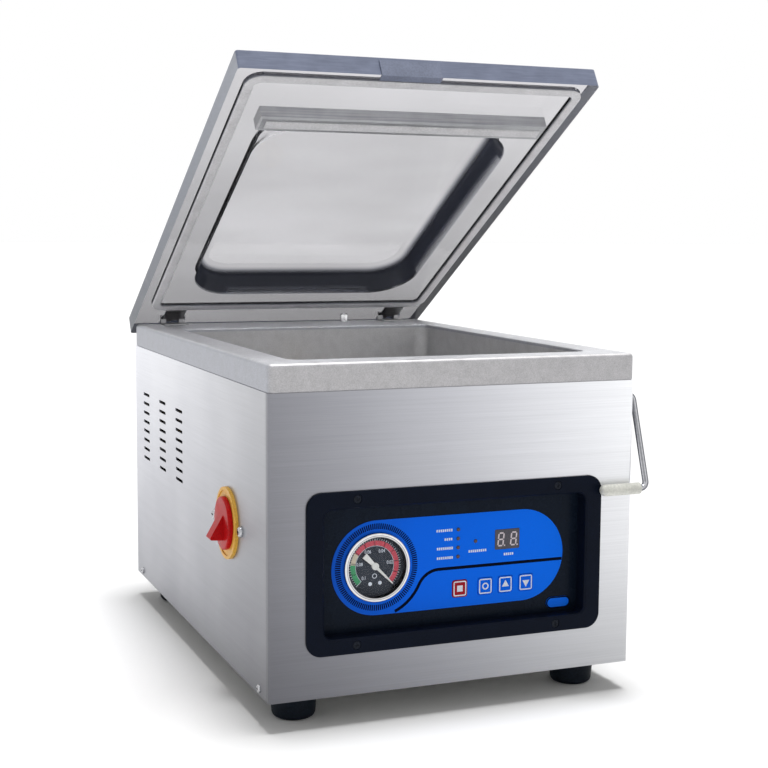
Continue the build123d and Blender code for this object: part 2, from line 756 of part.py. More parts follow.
switch_body -= rod_x(shaft_bore, -inner_x - past, bore_end, switch_y, switch_z)
switch_screws = []
plate_screw = screw(switch_screw_head, switch_screw_height, switch_screw_radius, switch_screw_length)
for end in (-0.5, 0.5):
    screw_y = switch_y + end * switch_screw_spacing
    switch_screws.append(Pos(-half_width, screw_y, switch_z) * facing_left * plate_screw)
    switch_body -= rod_x(switch_screw_radius, -inner_x - past, bracket_back + past, screw_y, switch_z)
save("switch_body", switch_body)
save("switch_screws", *switch_screws)

# ---- Side lever: a bent rod with a hand grip, turning in a bush in the right panel ----
lever_out = 10.0
lever_drop = 78.9
lever_bend = 6.0
bush_reach = 5.0
bush_proud = 3.4
bush_collar_wall = 4.25
bush_collar_length = 2.0
shaft_reach = 10.0
retainer_wall = 2.25
retainer_length = 2.0
grip_wall = 2.35
grip_bend_gap = 7.0
grip_length = 38.5
grip_cap = 4.5
grip_edge = 1.0
lever_x = half_width + lever_out
lever_corner_z = lever_pivot_z - lever_drop
bush_inner = half_width - bush_reach
bush_outer = half_width + bush_proud
bush_collar = lever_radius + bush_collar_wall
shaft_inner = half_width - shaft_reach
retainer_radius = lever_radius + retainer_wall
grip_radius = lever_radius + grip_wall
grip_outer = lever_x - grip_bend_gap
grip_end = grip_outer - grip_length
grip_bore_end = grip_end + grip_cap
lever_corner_y = bezel_front - moving_gap - grip_radius
lever_path = FilletPolyline(
    (shaft_inner, lever_pivot_y, lever_pivot_z),
    (lever_x, lever_pivot_y, lever_pivot_z),
    (lever_x, lever_corner_y, lever_corner_z),
    (grip_bore_end, lever_corner_y, lever_corner_z),
    radius=lever_bend,
)
lever_section = Plane(origin=lever_path @ 0, z_dir=lever_path % 0) * Circle(lever_radius)
lever_arm = sweep(lever_section, path=lever_path)
retainer_outer = bush_inner - moving_gap
retainer_inner = retainer_outer - retainer_length
lever_arm += rod_x(retainer_radius, retainer_inner, retainer_outer, lever_pivot_y, lever_pivot_z)
save("lever_arm", lever_arm)
grip = rod_x(grip_radius, grip_end, grip_outer, lever_corner_y, lever_corner_z)
grip_edges = grip.edges().filter_by(GeomType.CIRCLE).sort_by(Axis.X)
grip = fillet(grip_edges[0], grip_radius * 0.85)
grip = fillet(grip.edges().filter_by(GeomType.CIRCLE).sort_by(Axis.X)[-1], grip_edge)
grip -= rod_x(lever_radius, grip_bore_end, grip_outer + past, lever_corner_y, lever_corner_z)
save("lever_grip", grip)
bush = rod_x(bush_radius, bush_inner, bush_outer, lever_pivot_y, lever_pivot_z)
collar_end = half_width + bush_collar_length
bush += rod_x(bush_collar, half_width, collar_end, lever_pivot_y, lever_pivot_z)
bush_bore = lever_radius + running_gap
bush -= rod_x(bush_bore, bush_inner - past, bush_outer + past, lever_pivot_y, lever_pivot_z)
save("lever_bush", bush)

# ---- Lid: clear acrylic, blown up into a dome, with hinge pockets and a seal groove ----
hinge_inset = 4.8
hinge_rise = 7.2
lid_gap = 2.5
lid_corner = 3.0
lid_edge = 1.0
dome_side = 43.0
dome_behind_seal = 20.0
dome_tail = 90.0
dome_corner = 45.0
dome_height = 24.0
dome_slope = 22.0
dome_crown = 13.0
dome_wall = 5.0
hinge_side = 38.5
hinge_width = 26.0
knuckle_radius = 5.0
pocket_gap = 0.6
leaf_thickness = 2.0
lid_leaf_width = 22.0
lid_leaf_front = 24.0
seal_side = 8.0
seal_front_inset = 21.0
seal_back_inset = 34.0
seal_edge = 1.5
seal_band = 9.0
seal_corner = 15.0
groove_depth = 4.0
lid_under = rim_top + lid_gap
lid_top = lid_under + lid_thickness
lid_width = body_width + 2 * lid_side
lid_front = -half_depth + lid_inset
lid_back = half_depth + lid_tail
lid_length = lid_back - lid_front
lid_y = (lid_front + lid_back) / 2
hinge_x = half_width - hinge_side
hinge_y = half_depth - hinge_inset
hinge_z = rim_top + hinge_rise
dome_width = lid_width - 2 * dome_side
dome_front = seal_y + dome_behind_seal
dome_back = lid_back - dome_tail
seal_width = body_width - 2 * seal_side
seal_front = -half_depth + seal_front_inset
seal_back = half_depth - seal_back_inset
dome_length = dome_back - dome_front
dome_y = (dome_front + dome_back) / 2
seal_length = seal_back - seal_front
seal_mid = (seal_front + seal_back) / 2
pocket_radius = knuckle_radius + pocket_gap


def swing(piece):
    """Swing a lid piece from shut to its open rest position."""
    return piece.rotate(Axis((0, hinge_y, hinge_z), (1, 0, 0)), -lid_open)


def dome(grow, height, crown):
    """The blown bulge, grown outward on all sides and rounded over at the top."""
    outline = rounded(dome_width + 2 * grow, dome_length + 2 * grow, dome_corner + grow)
    bulge = extrude(outline, height, taper=dome_slope)
    bulge = fillet(bulge.faces().sort_by(Axis.Z)[-1].edges(), crown)
    return Pos(0, dome_y, lid_under) * bulge


def seal_ring(z0, z1):
    """A ring as wide as the lid seal, between two heights."""
    ring_outer = slab_z(rounded(seal_width, seal_length, seal_corner), z0, z1, 0, seal_mid)
    inner_width = seal_width - 2 * seal_band
    inner_length = seal_length - 2 * seal_band
    inner_outline = rounded(inner_width, inner_length, seal_corner - seal_band)
    return ring_outer - slab_z(inner_outline, z0 - past, z1 + past, 0, seal_mid)


def lid_leaf_plate(x):
    """The plate of a hinge's lid leaf, let into the underside."""
    x0 = x - lid_leaf_width / 2
    x1 = x + lid_leaf_width / 2
    y0 = hinge_y - lid_leaf_front
    y1 = hinge_y - pocket_radius
    return block(x0, x1, y0, y1, lid_under, lid_under + leaf_thickness)


lid = slab_z(rounded(lid_width, lid_length, lid_corner), lid_under, lid_top, 0, lid_y)
lid = fillet(lid.faces().sort_by(Axis.Z)[-1].edges(), lid_edge)
lid += dome(dome_wall, dome_height + dome_wall, dome_crown + dome_wall)
lid -= dome(0, dome_height, dome_crown)
lid -= seal_ring(lid_under - past, lid_under + groove_depth)
for x in (-hinge_x, hinge_x):
    pocket_half = hinge_width / 2 + pocket_gap
    lid -= rod_x(pocket_radius, x - pocket_half, x + pocket_half, hinge_y, hinge_z)
    pocket_y = (hinge_y - pocket_radius, hinge_y + pocket_radius)
    lid -= block(x - pocket_half, x + pocket_half, *pocket_y, lid_under - past, hinge_z)
    lid -= lid_leaf_plate(x)
save("lid_shell", swing(lid))

# ---- Lid seal: a soft band in the groove, standing a little proud ----
seal_bottom = rim_top + moving_gap
lid_gasket = seal_ring(seal_bottom, lid_under + groove_depth)
lid_gasket = fillet(lid_gasket.faces().sort_by(Axis.Z)[0].edges(), seal_edge)
save("lid_gasket", swing(lid_gasket))

# ---- Pad holder: the bar under the lid that the seal bar presses against ----
holder_end_gap = 1.5
holder_width = 20.0
holder_edge = 1.5
pad_width = 10.0
pad_proud = 1.0
pad_depth = 3.0
pad_edge = 0.8
holder_half = chamber_width / 2 - holder_end_gap
holder_bottom = pad_bottom + pad_proud
holder_y = (seal_y - holder_width / 2, seal_y + holder_width / 2)
holder = block(-holder_half, holder_half, *holder_y, holder_bottom, lid_under)
holder = chamfer(holder.faces().sort_by(Axis.Z)[0].edges(), holder_edge)
pad_y = (seal_y - pad_width / 2, seal_y + pad_width / 2)
pad = block(-bar_half, bar_half, *pad_y, pad_bottom, holder_bottom + pad_depth)
save("pad_holder", swing(holder - pad))
pad = chamfer(pad.faces().sort_by(Axis.Z)[0].edges().filter_by(Axis.X), pad_edge)
save("silicone_pad", swing(pad))

# ---- Lid handle: a small bent plate round the front edge ----
handle_left = -42.6
handle_right = 13.1
handle_sheet = 1.5
handle_rise = 14.0
handle_under = 6.5
handle_bend = 1.0
handle_low = lid_under - handle_sheet
handle_face = lid_front - handle_sheet
hook_end = lid_front + handle_under
lid_handle = block(handle_left, handle_right, handle_face, hook_end, handle_low, lid_under)
handle_top_z = lid_under + handle_rise
lid_handle += block(handle_left, handle_right, handle_face, lid_front, lid_under, handle_top_z)
lid_handle = fillet(lid_handle.edges().filter_by(Axis.X).sort_by(Axis.Z)[0:1], handle_bend)
save("lid_handle", swing(lid_handle))

# ---- Hinges: a base leaf on the rim, a lid leaf, a pin and a coil spring on each side ----
pin_radius = 2.0
base_leaf_thickness = 1.5
base_leaf_front = 24.0
base_leaf_back = 1.0
base_knuckle = 6.0
lid_knuckle_left = -6.7
lid_knuckle_right = -1.0
spring_left = -0.7
spring_right = 6.7
spring_turns = 5
spring_radius = 3.8
web_depth = 5.0
half_hinge = hinge_width / 2
base_leaves = []
lid_leaves = []
hinge_pins = []
hinge_springs = []


def hinge_spring(x0, x1):
    """A coil round the pin, drawn as touching rounded turns."""
    pitch = (x1 - x0) / spring_turns
    bore = pin_radius + hole_gap
    sleeve = rod_x(spring_radius - pitch / 4, x0, x1, hinge_y, hinge_z)
    for turn in range(spring_turns):
        middle = x0 + (turn + 0.5) * pitch
        centre_line = spring_radius - pitch / 2
        sleeve += Pos(middle, hinge_y, hinge_z) * Rot(0, 90, 0) * Torus(centre_line, pitch * 0.49)
    return sleeve - rod_x(bore, x0 - past, x1 + past, hinge_y, hinge_z)


for x in (-hinge_x, hinge_x):
    leaf_y = (hinge_y - base_leaf_front, hinge_y - base_leaf_back)
    leaf = block(x - half_hinge, x + half_hinge, *leaf_y, rim_top, rim_top + base_leaf_thickness)
    for left in (x - half_hinge, x + half_hinge - base_knuckle):
        right = left + base_knuckle
        leaf += rod_x(knuckle_radius, left, right, hinge_y, hinge_z)
        leaf += block(left, right, hinge_y - web_depth, hinge_y - base_leaf_back, rim_top, hinge_z)
    leaf -= rod_x(pin_radius, x - half_hinge - past, x + half_hinge + past, hinge_y, hinge_z)
    base_leaves.append(leaf)

    left = x + lid_knuckle_left
    right = x + lid_knuckle_right
    lid_leaf = lid_leaf_plate(x) + rod_x(knuckle_radius, left, right, hinge_y, hinge_z)
    lid_leaf += block(left, right, hinge_y - pocket_radius, hinge_y, lid_under, lid_under + leaf_thickness)
    lid_leaf -= rod_x(pin_radius + running_gap, left - past, right + past, hinge_y, hinge_z)
    lid_leaves.append(swing(lid_leaf))

    hinge_pins.append(rod_x(pin_radius, x - half_hinge, x + half_hinge, hinge_y, hinge_z))
    hinge_springs.append(hinge_spring(x + spring_left, x + spring_right))
save("hinge_base_leaves", *base_leaves)
save("hinge_lid_leaves", *lid_leaves)
save("hinge_pins", *hinge_pins)
save("hinge_springs", *hinge_springs)

# ---- Lid switch: a plunger in the rim that the closing lid pushes down ----
plunger_proud = 10.0
plunger_length = 24.0
plunger_travel = 8.0
plunger_edge = 2.0
housing_half = 12.0
housing_depth = 8.0
housing_height = 34.0
plunger_top = rim_top + plunger_proud
plunger_bottom = plunger_top - plunger_length
plunger = rod_z(plunger_radius, plunger_bottom, plunger_top, plunger_x, plunger_y)
plunger = fillet(plunger.edges().sort_by(Axis.Z)[-1], plunger_edge)
save("lid_plunger", plunger)
housing_x = (plunger_x - housing_half, plunger_x + housing_half)
housing_y = (plunger_y - housing_depth, plunger_y + housing_depth)
housing = block(*housing_x, *housing_y, plate_bottom - housing_height, plate_bottom)
bore_bottom = plunger_bottom - plunger_travel - past
housing -= rod_z(plunger_radius + running_gap, bore_bottom, plate_bottom + past, plunger_x, plunger_y)
save("lid_switch", housing)

# ---- Vacuum pump: ribbed block on legs with an exhaust filter on top ----
pump_left = -20.0
pump_right = 90.0
pump_front = -95.0
pump_back = 55.0
pump_bottom = 45.0
pump_top = 165.0
pump_corner = 8.0
rib_proud = 4.0
rib_width = 4.0
ribs = 7
leg_width = 24.0
filter_x = 60.0
filter_z = 188.0
filter_radius = 24.0
filter_front = -90.0
filter_back = 40.0
inlet_barb_x = 5.0
inlet_barb_y = -20.0
inlet_boss_radius = 10.0
inlet_boss_height = 7.0
pump_middle_x = (pump_left + pump_right) / 2
pump_middle_y = (pump_front + pump_back) / 2
pump_outline = rounded(pump_right - pump_left, pump_back - pump_front, pump_corner)
pump = slab_z(pump_outline, pump_bottom, pump_top, pump_middle_x, pump_middle_y)
rib_pitch = (pump_back - pump_front - 2 * pump_corner) / ribs
for index in range(ribs):
    rib_y = pump_front + pump_corner + (index + 0.5) * rib_pitch
    rib_low = pump_bottom + pump_corner
    rib_high = pump_top - pump_corner
    rib_left = pump_left - rib_proud
    rib_right = pump_right + rib_proud
    rib_front = rib_y - rib_width / 2
    pump += block(rib_left, rib_right, rib_front, rib_front + rib_width, rib_low, rib_high)
for x in (pump_left + leg_width / 2, pump_right - leg_width / 2):
    for y in (pump_front + leg_width / 2, pump_back - leg_width / 2):
        pump += rod_z(leg_width / 2, tray_top, pump_bottom, x, y)
pump += rod_y(filter_radius, filter_front, filter_back, filter_x, filter_z)
neck_half = filter_radius / 2
neck_x = (filter_x - neck_half, filter_x + neck_half)
neck_y = (filter_front + neck_half, filter_back - neck_half)
pump += block(*neck_x, *neck_y, pump_top, filter_z)
boss_top = pump_top + inlet_boss_height
pump += rod_z(inlet_boss_radius, pump_top, boss_top, inlet_barb_x, inlet_barb_y)
pump += rod_z(barb_radius, boss_top, main_hose_z - hose_bend, inlet_barb_x, inlet_barb_y)
save("vacuum_pump", pump)

# ---- Pump motor: ribbed barrel on a foot, with the fan inside its cowl ----
motor_radius = 54.0
motor_end = 190.0
cowl_radius = 58.0
cowl_wall = 3.0
cowl_end = 222.0
motor_foot_half = 30.0
motor_foot_inset = 10.0
motor_fins = 20
fin_height = 4.0
fin_width = 3.0
fan_shaft_radius = 6.0
fan_shaft_start = 172.0
motor = rod_y(motor_radius, pump_back, motor_end, fan_x, fan_z)
for index in range(motor_fins):
    turn = 360 / motor_fins * (index + 0.5)
    fin = Pos(motor_radius, 0, 0) * Box(2 * fin_height, fin_width, motor_end - pump_back)
    middle_y = (pump_back + motor_end) / 2
    motor += Pos(fan_x, middle_y, fan_z) * facing_front * Rot(0, 0, turn) * fin
cowl = rod_y(cowl_radius, motor_end, cowl_end, fan_x, fan_z)
cowl -= rod_y(cowl_radius - cowl_wall, motor_end, cowl_end - cowl_wall, fan_x, fan_z)
grille_inner = 14.0
grille_outer = 48.0
grille_slots = 12
grille_slot_width = 7.0
for index in range(grille_slots):
    slot = SlotOverall(grille_outer - grille_inner, grille_slot_width)
    slot = Pos((grille_inner + grille_outer) / 2, 0, 0) * slot
    grille = extrude(Rot(0, 0, 360 / grille_slots * index) * slot, 2 * cowl_wall)
    cowl -= Pos(fan_x, cowl_end + past, fan_z) * facing_front * grille
motor += cowl
motor_foot_x = (fan_x - motor_foot_half, fan_x + motor_foot_half)
motor_foot_y = (pump_back + motor_foot_inset, motor_end - motor_foot_inset)
motor += block(*motor_foot_x, *motor_foot_y, tray_top, fan_z - motor_radius / 2)
motor -= rod_y(fan_shaft_radius + running_gap, fan_shaft_start, motor_end + past, fan_x, fan_z)
save("pump_motor", motor)

# ---- Motor fan: hub and blades on the motor shaft ----
fan_gap = 5.0
fan_width = 16.0
fan_front = motor_end + fan_gap
fan_back = fan_front + fan_width
fan_hub_radius = 14.0
fan_radius = 50.0
fan_blades = 9
blade_thickness = 2.5
fan = rod_y(fan_hub_radius, fan_front, fan_back, fan_x, fan_z)
fan += rod_y(fan_shaft_radius, fan_shaft_start + moving_gap, fan_front, fan_x, fan_z)
for index in range(fan_blades):
    blade_length = fan_radius - fan_hub_radius + past
    blade_middle = (fan_radius + fan_hub_radius - past) / 2
    blade = Pos(blade_middle, 0, 0) * Box(blade_length, blade_thickness, fan_back - fan_front)
    middle_y = (fan_front + fan_back) / 2
    fan += Pos(fan_x, middle_y, fan_z) * facing_front * Rot(0, 0, 360 / fan_blades * index) * blade
save("motor_fan", fan)

# ---- Sealing transformer: laminated core with a winding through it ----
core_left = -145.0
core_right = -80.0
core_front = 20.0
core_back = 95.0
core_bottom = 40.0
core_top = 102.0
winding_proud = 12.0
winding_inset = 11.0
winding_bend = 8.0
foot_strip = 12.0
transformer = block(core_left, core_right, core_front, core_back, core_bottom, core_top)
winding_x = (core_left + winding_inset, core_right - winding_inset)
winding_y = (core_front - winding_proud, core_back + winding_proud)
winding = block(*winding_x, *winding_y, core_bottom + winding_inset, core_top - winding_inset)
transformer += fillet(winding.edges().filter_by(Axis.Z), winding_bend)
for x in (core_left, core_right - foot_strip):
    transformer += block(x, x + foot_strip, core_front, core_back, tray_top, core_bottom)
save("seal_transformer", transformer)

# ---- Valve block: hangs under the tub and switches vacuum, air and gas ----
valve_left = -110.0
valve_right = -55.0
valve_depth = 44.0
valve_height = 50.0
coil_radius = 13.0
coil_inset = 14.0
coil_length = 26.0
barb_length = 14.0
front_barb_x = -88.0
gauge_tube_drop = 12.0
valve_front = port_y - valve_depth / 2
valve_back = port_y + valve_depth / 2
valve_bottom = tub_under - valve_height
gauge_tube_z = tub_under - gauge_tube_drop
valve = block(valve_left, valve_right, valve_front, valve_back, valve_bottom, tub_under)
for x in (valve_left + coil_inset, valve_right - coil_inset):
    valve += rod_z(coil_radius, valve_bottom - coil_length, valve_bottom, x, port_y)
valve += rod_x(barb_radius, valve_right, valve_right + barb_length, port_y, main_hose_z)
valve += rod_y(barb_radius, valve_front - barb_length, valve_front, front_barb_x, main_hose_z)
valve += rod_y(spigot_radius, valve_front - spigot_length, valve_front, gauge_x, gauge_tube_z)
save("valve_block", valve)

# ---- Hoses: the two vacuum hoses and the thin gauge tube, each pushed over its barbs ----
hose_radius = 8.0
tube_radius = 3.0
tube_bend = 20.0
tube_rise_y = -150.0


def hose(outer, inner, bend_radius, *points):
    """A hollow hose along straight runs joined by round bends."""
    path = FilletPolyline(*points, radius=bend_radius)
    start = Plane(origin=path @ 0, z_dir=path % 0)
    return sweep(start * (Circle(outer) - Circle(inner)), path=path)


port_hose = hose(
    hose_radius,
    barb_radius,
    hose_bend,
    (0, port_y, port_nut_bottom),
    (0, port_y, main_hose_z),
    (valve_right, port_y, main_hose_z),
)
pump_hose = hose(
    hose_radius,
    barb_radius,
    hose_bend,
    (front_barb_x, valve_front, main_hose_z),
    (front_barb_x, inlet_barb_y, main_hose_z),
    (inlet_barb_x, inlet_barb_y, main_hose_z),
    (inlet_barb_x, inlet_barb_y, boss_top),
)
save("vacuum_hoses", port_hose, pump_hose)
gauge_tube = hose(
    tube_radius,
    spigot_radius,
    tube_bend,
    (gauge_x, case_back, gauge_z),
    (gauge_x, tube_rise_y, gauge_z),
    (gauge_x, tube_rise_y, gauge_tube_z),
    (gauge_x, valve_front, gauge_tube_z),
)
save("gauge_tube", gauge_tube)

# ---- Power inlet: a three-pin socket in the back panel ----
inlet_flange_width = 48.0
inlet_flange_height = 29.0
inlet_flange = 2.0
inlet_body_depth = 28.0
socket_width = 24.4
socket_height = 16.6
socket_depth = 19.0
blade_width = 2.0
blade_height = 5.0
blade_spacing = 7.0
blade_rise = 2.0
blade_reach = 13.0
socket_corner = 2.5
blade_corner = 0.4
inlet_face = half_depth + inlet_flange
socket_floor = inlet_face - socket_depth
flange_outline = rounded(inlet_flange_width, inlet_flange_height, inlet_corner)
inlet = slab_y(flange_outline, half_depth, inlet_face, inlet_x, inlet_z)
body_outline = rounded(inlet_width, inlet_height, inlet_corner)
inlet += slab_y(body_outline, half_depth - inlet_body_depth, half_depth, inlet_x, inlet_z)
socket_outline = rounded(socket_width, socket_height, socket_corner)
inlet -= slab_y(socket_outline, socket_floor, inlet_face + past, inlet_x, inlet_z)
for place in (-1, 0, 1):
    blade_x = inlet_x + place * blade_spacing
    blade_z = inlet_z + (blade_rise if place == 0 else -blade_rise)
    blade_outline = rounded(blade_width, blade_height, blade_corner)
    inlet += slab_y(blade_outline, socket_floor, socket_floor + blade_reach, blade_x, blade_z)
save("power_inlet", inlet)

# ---- Gas port: a nipple for a supply hose, nutted through the back panel ----
gas_flange_radius = 8.0
gas_flange_length = 4.0
gas_nipple_radius = 4.0
gas_nipple_length = 13.0
gas_flange_end = half_depth + gas_flange_length
gas_port = rod_y(gas_flange_radius, half_depth, gas_flange_end, gas_x, gas_z)
gas_port += rod_y(gas_nipple_radius, gas_flange_end, gas_flange_end + gas_nipple_length, gas_x, gas_z)
gas_port += rod_y(gas_shank_radius, inner_y - gas_flange_length, half_depth, gas_x, gas_z)
gas_port += slab_y(RegularPolygon(gas_flange_radius, 6), inner_y - gas_flange_length, inner_y, gas_x, gas_z)
save("gas_port", gas_port)
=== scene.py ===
import json
import math

import bmesh
import bpy
from mathutils import Matrix, Vector


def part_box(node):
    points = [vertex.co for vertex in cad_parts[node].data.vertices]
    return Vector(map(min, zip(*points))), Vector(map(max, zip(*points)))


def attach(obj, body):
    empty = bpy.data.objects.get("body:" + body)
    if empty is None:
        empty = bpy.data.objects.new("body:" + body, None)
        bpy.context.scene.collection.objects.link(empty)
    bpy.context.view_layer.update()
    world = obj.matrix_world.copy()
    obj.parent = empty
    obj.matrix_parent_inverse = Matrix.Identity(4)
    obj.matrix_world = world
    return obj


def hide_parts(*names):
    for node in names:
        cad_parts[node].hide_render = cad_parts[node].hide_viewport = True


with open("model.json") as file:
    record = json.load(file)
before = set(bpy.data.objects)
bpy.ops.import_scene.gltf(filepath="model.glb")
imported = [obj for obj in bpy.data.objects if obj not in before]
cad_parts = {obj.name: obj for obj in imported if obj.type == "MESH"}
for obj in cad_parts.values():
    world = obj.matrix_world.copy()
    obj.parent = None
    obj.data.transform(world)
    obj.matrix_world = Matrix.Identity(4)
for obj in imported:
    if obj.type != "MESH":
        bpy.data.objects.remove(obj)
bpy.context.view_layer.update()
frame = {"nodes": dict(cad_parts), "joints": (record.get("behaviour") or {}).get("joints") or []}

cad_nodes = frame["nodes"]

# ---- Feet and tray ----
# Four moulded rubber feet, each screwed up into the folded base tray.
# The rubber is black with a dusty bloom; the tray and its screws are zinc plated.


def srgb(red, green, blue):
    """A colour as a display shows it, from 0 to 255, made linear."""
    parts = [value / 255 for value in (red, green, blue)]
    return tuple(p / 12.92 if p < 0.04 else ((p + 0.055) / 1.055) ** 2.4 for p in parts)


def shader_of(name, colour, rough, metal=0.0, **sockets):
    """A material and its main shader, with the plain values set on the shader itself."""
    material = bpy.data.materials.new(name)
    material.use_nodes = True
    shader = material.node_tree.nodes["Principled BSDF"]
    shader.inputs["Base Color"].default_value = (*colour, 1.0)
    shader.inputs["Roughness"].default_value = rough
    shader.inputs["Metallic"].default_value = metal
    for socket, value in sockets.items():
        shader.inputs[socket.replace("_", " ")].default_value = value
    return material, shader


def speckle(material, scale, stretch=(1, 1, 1), detail=4.0):
    """Noise on the piece's own coordinates, drawn out by the stretch."""
    tree = material.node_tree
    place = tree.nodes.new("ShaderNodeTexCoord")
    mapping = tree.nodes.new("ShaderNodeMapping")
    mapping.inputs["Scale"].default_value = stretch
    noise = tree.nodes.new("ShaderNodeTexNoise")
    noise.inputs["Scale"].default_value = scale
    noise.inputs["Detail"].default_value = detail
    tree.links.new(place.outputs["Object"], mapping.inputs["Vector"])
    tree.links.new(mapping.outputs["Vector"], noise.inputs["Vector"])
    return noise.outputs[0]


def spread(material, pattern, low, high, start=0.3, end=0.7):
    """A pattern's value spread between two numbers."""
    reach = material.node_tree.nodes.new("ShaderNodeMapRange")
    reach.inputs["From Min"].default_value = start
    reach.inputs["From Max"].default_value = end
    reach.inputs["To Min"].default_value = low
    reach.inputs["To Max"].default_value = high
    material.node_tree.links.new(pattern, reach.inputs["Value"])
    return reach.outputs["Result"]


def even(value):
    """An even grey of one strength."""
    return value, value, value


def ramp(material, pattern, *stops):
    """Colours laid along a pattern's value; each stop is a place and a colour."""
    tree = material.node_tree
    band = tree.nodes.new("ShaderNodeValToRGB")
    colours = band.color_ramp.elements
    while len(colours) < len(stops):
        colours.new(1.0)
    for mark, (place, colour) in zip(colours, stops):
        mark.position = place
        mark.color = (*colour, 1.0)
    tree.links.new(pattern, band.inputs["Fac"])
    return band.outputs["Color"]


def stain(material, shader, colour, over, kind="MULTIPLY", amount=1.0):
    """Lays one colour over another and sends the result to the shader."""
    tree = material.node_tree
    mix = tree.nodes.new("ShaderNodeMix")
    mix.data_type = "RGBA"
    mix.blend_type = kind
    mix.inputs[0].default_value = amount
    tree.links.new(colour, mix.inputs[6])
    tree.links.new(over, mix.inputs[7])
    tree.links.new(mix.outputs[2], shader.inputs["Base Color"])
    return mix.outputs[2]


def emboss(material, shader, pattern, strength, depth):
    """Fine relief in the surface from a pattern, on top of any relief already there."""
    tree = material.node_tree
    bump = tree.nodes.new("ShaderNodeBump")
    bump.inputs["Strength"].default_value = strength
    bump.inputs["Distance"].default_value = depth
    tree.links.new(pattern, bump.inputs["Height"])
    if shader.inputs["Normal"].is_linked:
        tree.links.new(shader.inputs["Normal"].links[0].from_socket, bump.inputs["Normal"])
    tree.links.new(bump.outputs["Normal"], shader.inputs["Normal"])


def textured(name, dark, light, smooth, rough, scale, relief, stretch=(1, 1, 1), metal=0.0, **sockets):
    """A finish with fine grain, broad wear in tone and sheen, and relief in millimetres."""
    material, shader = shader_of(name, light, rough, metal, **sockets)
    fine = speckle(material, scale, stretch)
    broad = speckle(material, scale / 11, (1, 1, 1), 3.0)
    grain = ramp(material, fine, (0.3, dark), (0.7, light))
    wear = ramp(material, broad, (0.3, even(0.86)), (0.65, even(1.0)))
    stain(material, shader, grain, wear)
    material.node_tree.links.new(spread(material, broad, smooth, rough), shader.inputs["Roughness"])
    emboss(material, shader, fine, 0.5, relief / 1000)
    return material


def dress(material, *names):
    """Puts a finish on CAD nodes that stay as they are."""
    for name in names:
        cad_nodes[name].data.materials.clear()
        cad_nodes[name].data.materials.append(material)


def tint(material, over):
    """Multiplies a finish's colour by one more pattern."""
    shader = material.node_tree.nodes["Principled BSDF"]
    stain(material, shader, shader.inputs["Base Color"].links[0].from_socket, over)


dress(
    textured(
        "foot_rubber", srgb(6, 12, 20), srgb(16, 26, 38), 0.55, 0.75, 700, 0.15, Specular_IOR_Level=0.15
    ),
    "rubber_feet",
)
zinc = textured("zinc_plate", (0.42, 0.42, 0.40), (0.62, 0.62, 0.60), 0.28, 0.45, 500, 0.03, metal=1.0)
dress(zinc, "foot_screws", "base_tray")

# ---- Cabinet panels ----
# Brushed stainless sheet with the grain running level round the cabinet.
# The front wraps both corners; screws along the bottom hold the panels to the tray.


def along(material, axis, start, end):
    """A value that runs from 0 to 1 across the piece along one axis."""
    tree = material.node_tree
    place = tree.nodes.new("ShaderNodeTexCoord")
    split = tree.nodes.new("ShaderNodeSeparateXYZ")
    tree.links.new(place.outputs["Object"], split.inputs["Vector"])
    return spread(material, split.outputs[axis], 0.0, 1.0, start, end)


def brushed(name, stretch, painted_tones, painted_fade, rough=0.34):
    """Brushed steel: fine level scratches, soft bands, and painted reflection and shade as a slow change of
    tone across and along the sheet.
    """
    material, shader = shader_of(name, (0.6, 0.6, 0.62), rough, 0.92)
    links = material.node_tree.links
    band_share = 0.12
    fine = speckle(material, 1.0, stretch, 6.0)
    coarse = speckle(material, 1.0, tuple(band_share * reach for reach in stretch), 3.0)
    smear = speckle(material, 9.0, (1, 1, 1), 2.0)
    reflection_ramp = ramp(material, along(material, *painted_tones[0]), *painted_tones[1])
    streak = ramp(material, fine, (0.25, even(0.93)), (0.75, even(1.05)))
    mixed = stain(material, shader, reflection_ramp, streak)
    band = ramp(material, coarse, (0.3, even(0.97)), (0.7, even(1.02)))
    mixed = stain(material, shader, mixed, band)
    down = ramp(material, along(material, *painted_fade[0]), *painted_fade[1])
    stain(material, shader, mixed, down)
    links.new(spread(material, smear, rough - 0.05, rough + 0.07), shader.inputs["Roughness"])
    emboss(material, shader, fine, 0.35, 0.00004)
    return material


def steel(value):
    """A steel tone, a little cooler where it is dark."""
    return value, value * 1.01, value * (1.14 - 0.11 * value)


def painted_steel_tones(*stops):
    """Steel tones of painted reflection and shade at places along a sheet."""
    return tuple((place, steel(value)) for place, value in stops)


front_low, front_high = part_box("front_panel")
width_span = ("X", front_low.x, front_high.x)
depth_span = ("Y", front_low.y, -front_low.y)
height_span = ("Z", front_low.z, front_high.z)
level_grain = (14, 2600, 2600)
side_grain = (2600, 14, 2600)
# Painted reflection and shade on the front: darker on the left, lighter on the right, and darker towards the
# bottom.
front_painted_reflection = (width_span, painted_steel_tones((0.0, 0.25), (0.23, 0.36), (0.45, 0.50), (0.8, 0.78), (1.0, 0.93)))
front_painted_shade = (
    height_span,
    ((0.0, even(0.52)), (0.15, even(0.62)), (0.42, even(0.81)), (0.8, even(0.94)), (1.0, even(1.0))),
)
dress(brushed("front_brushed_steel", level_grain, front_painted_reflection, front_painted_shade), "front_panel")
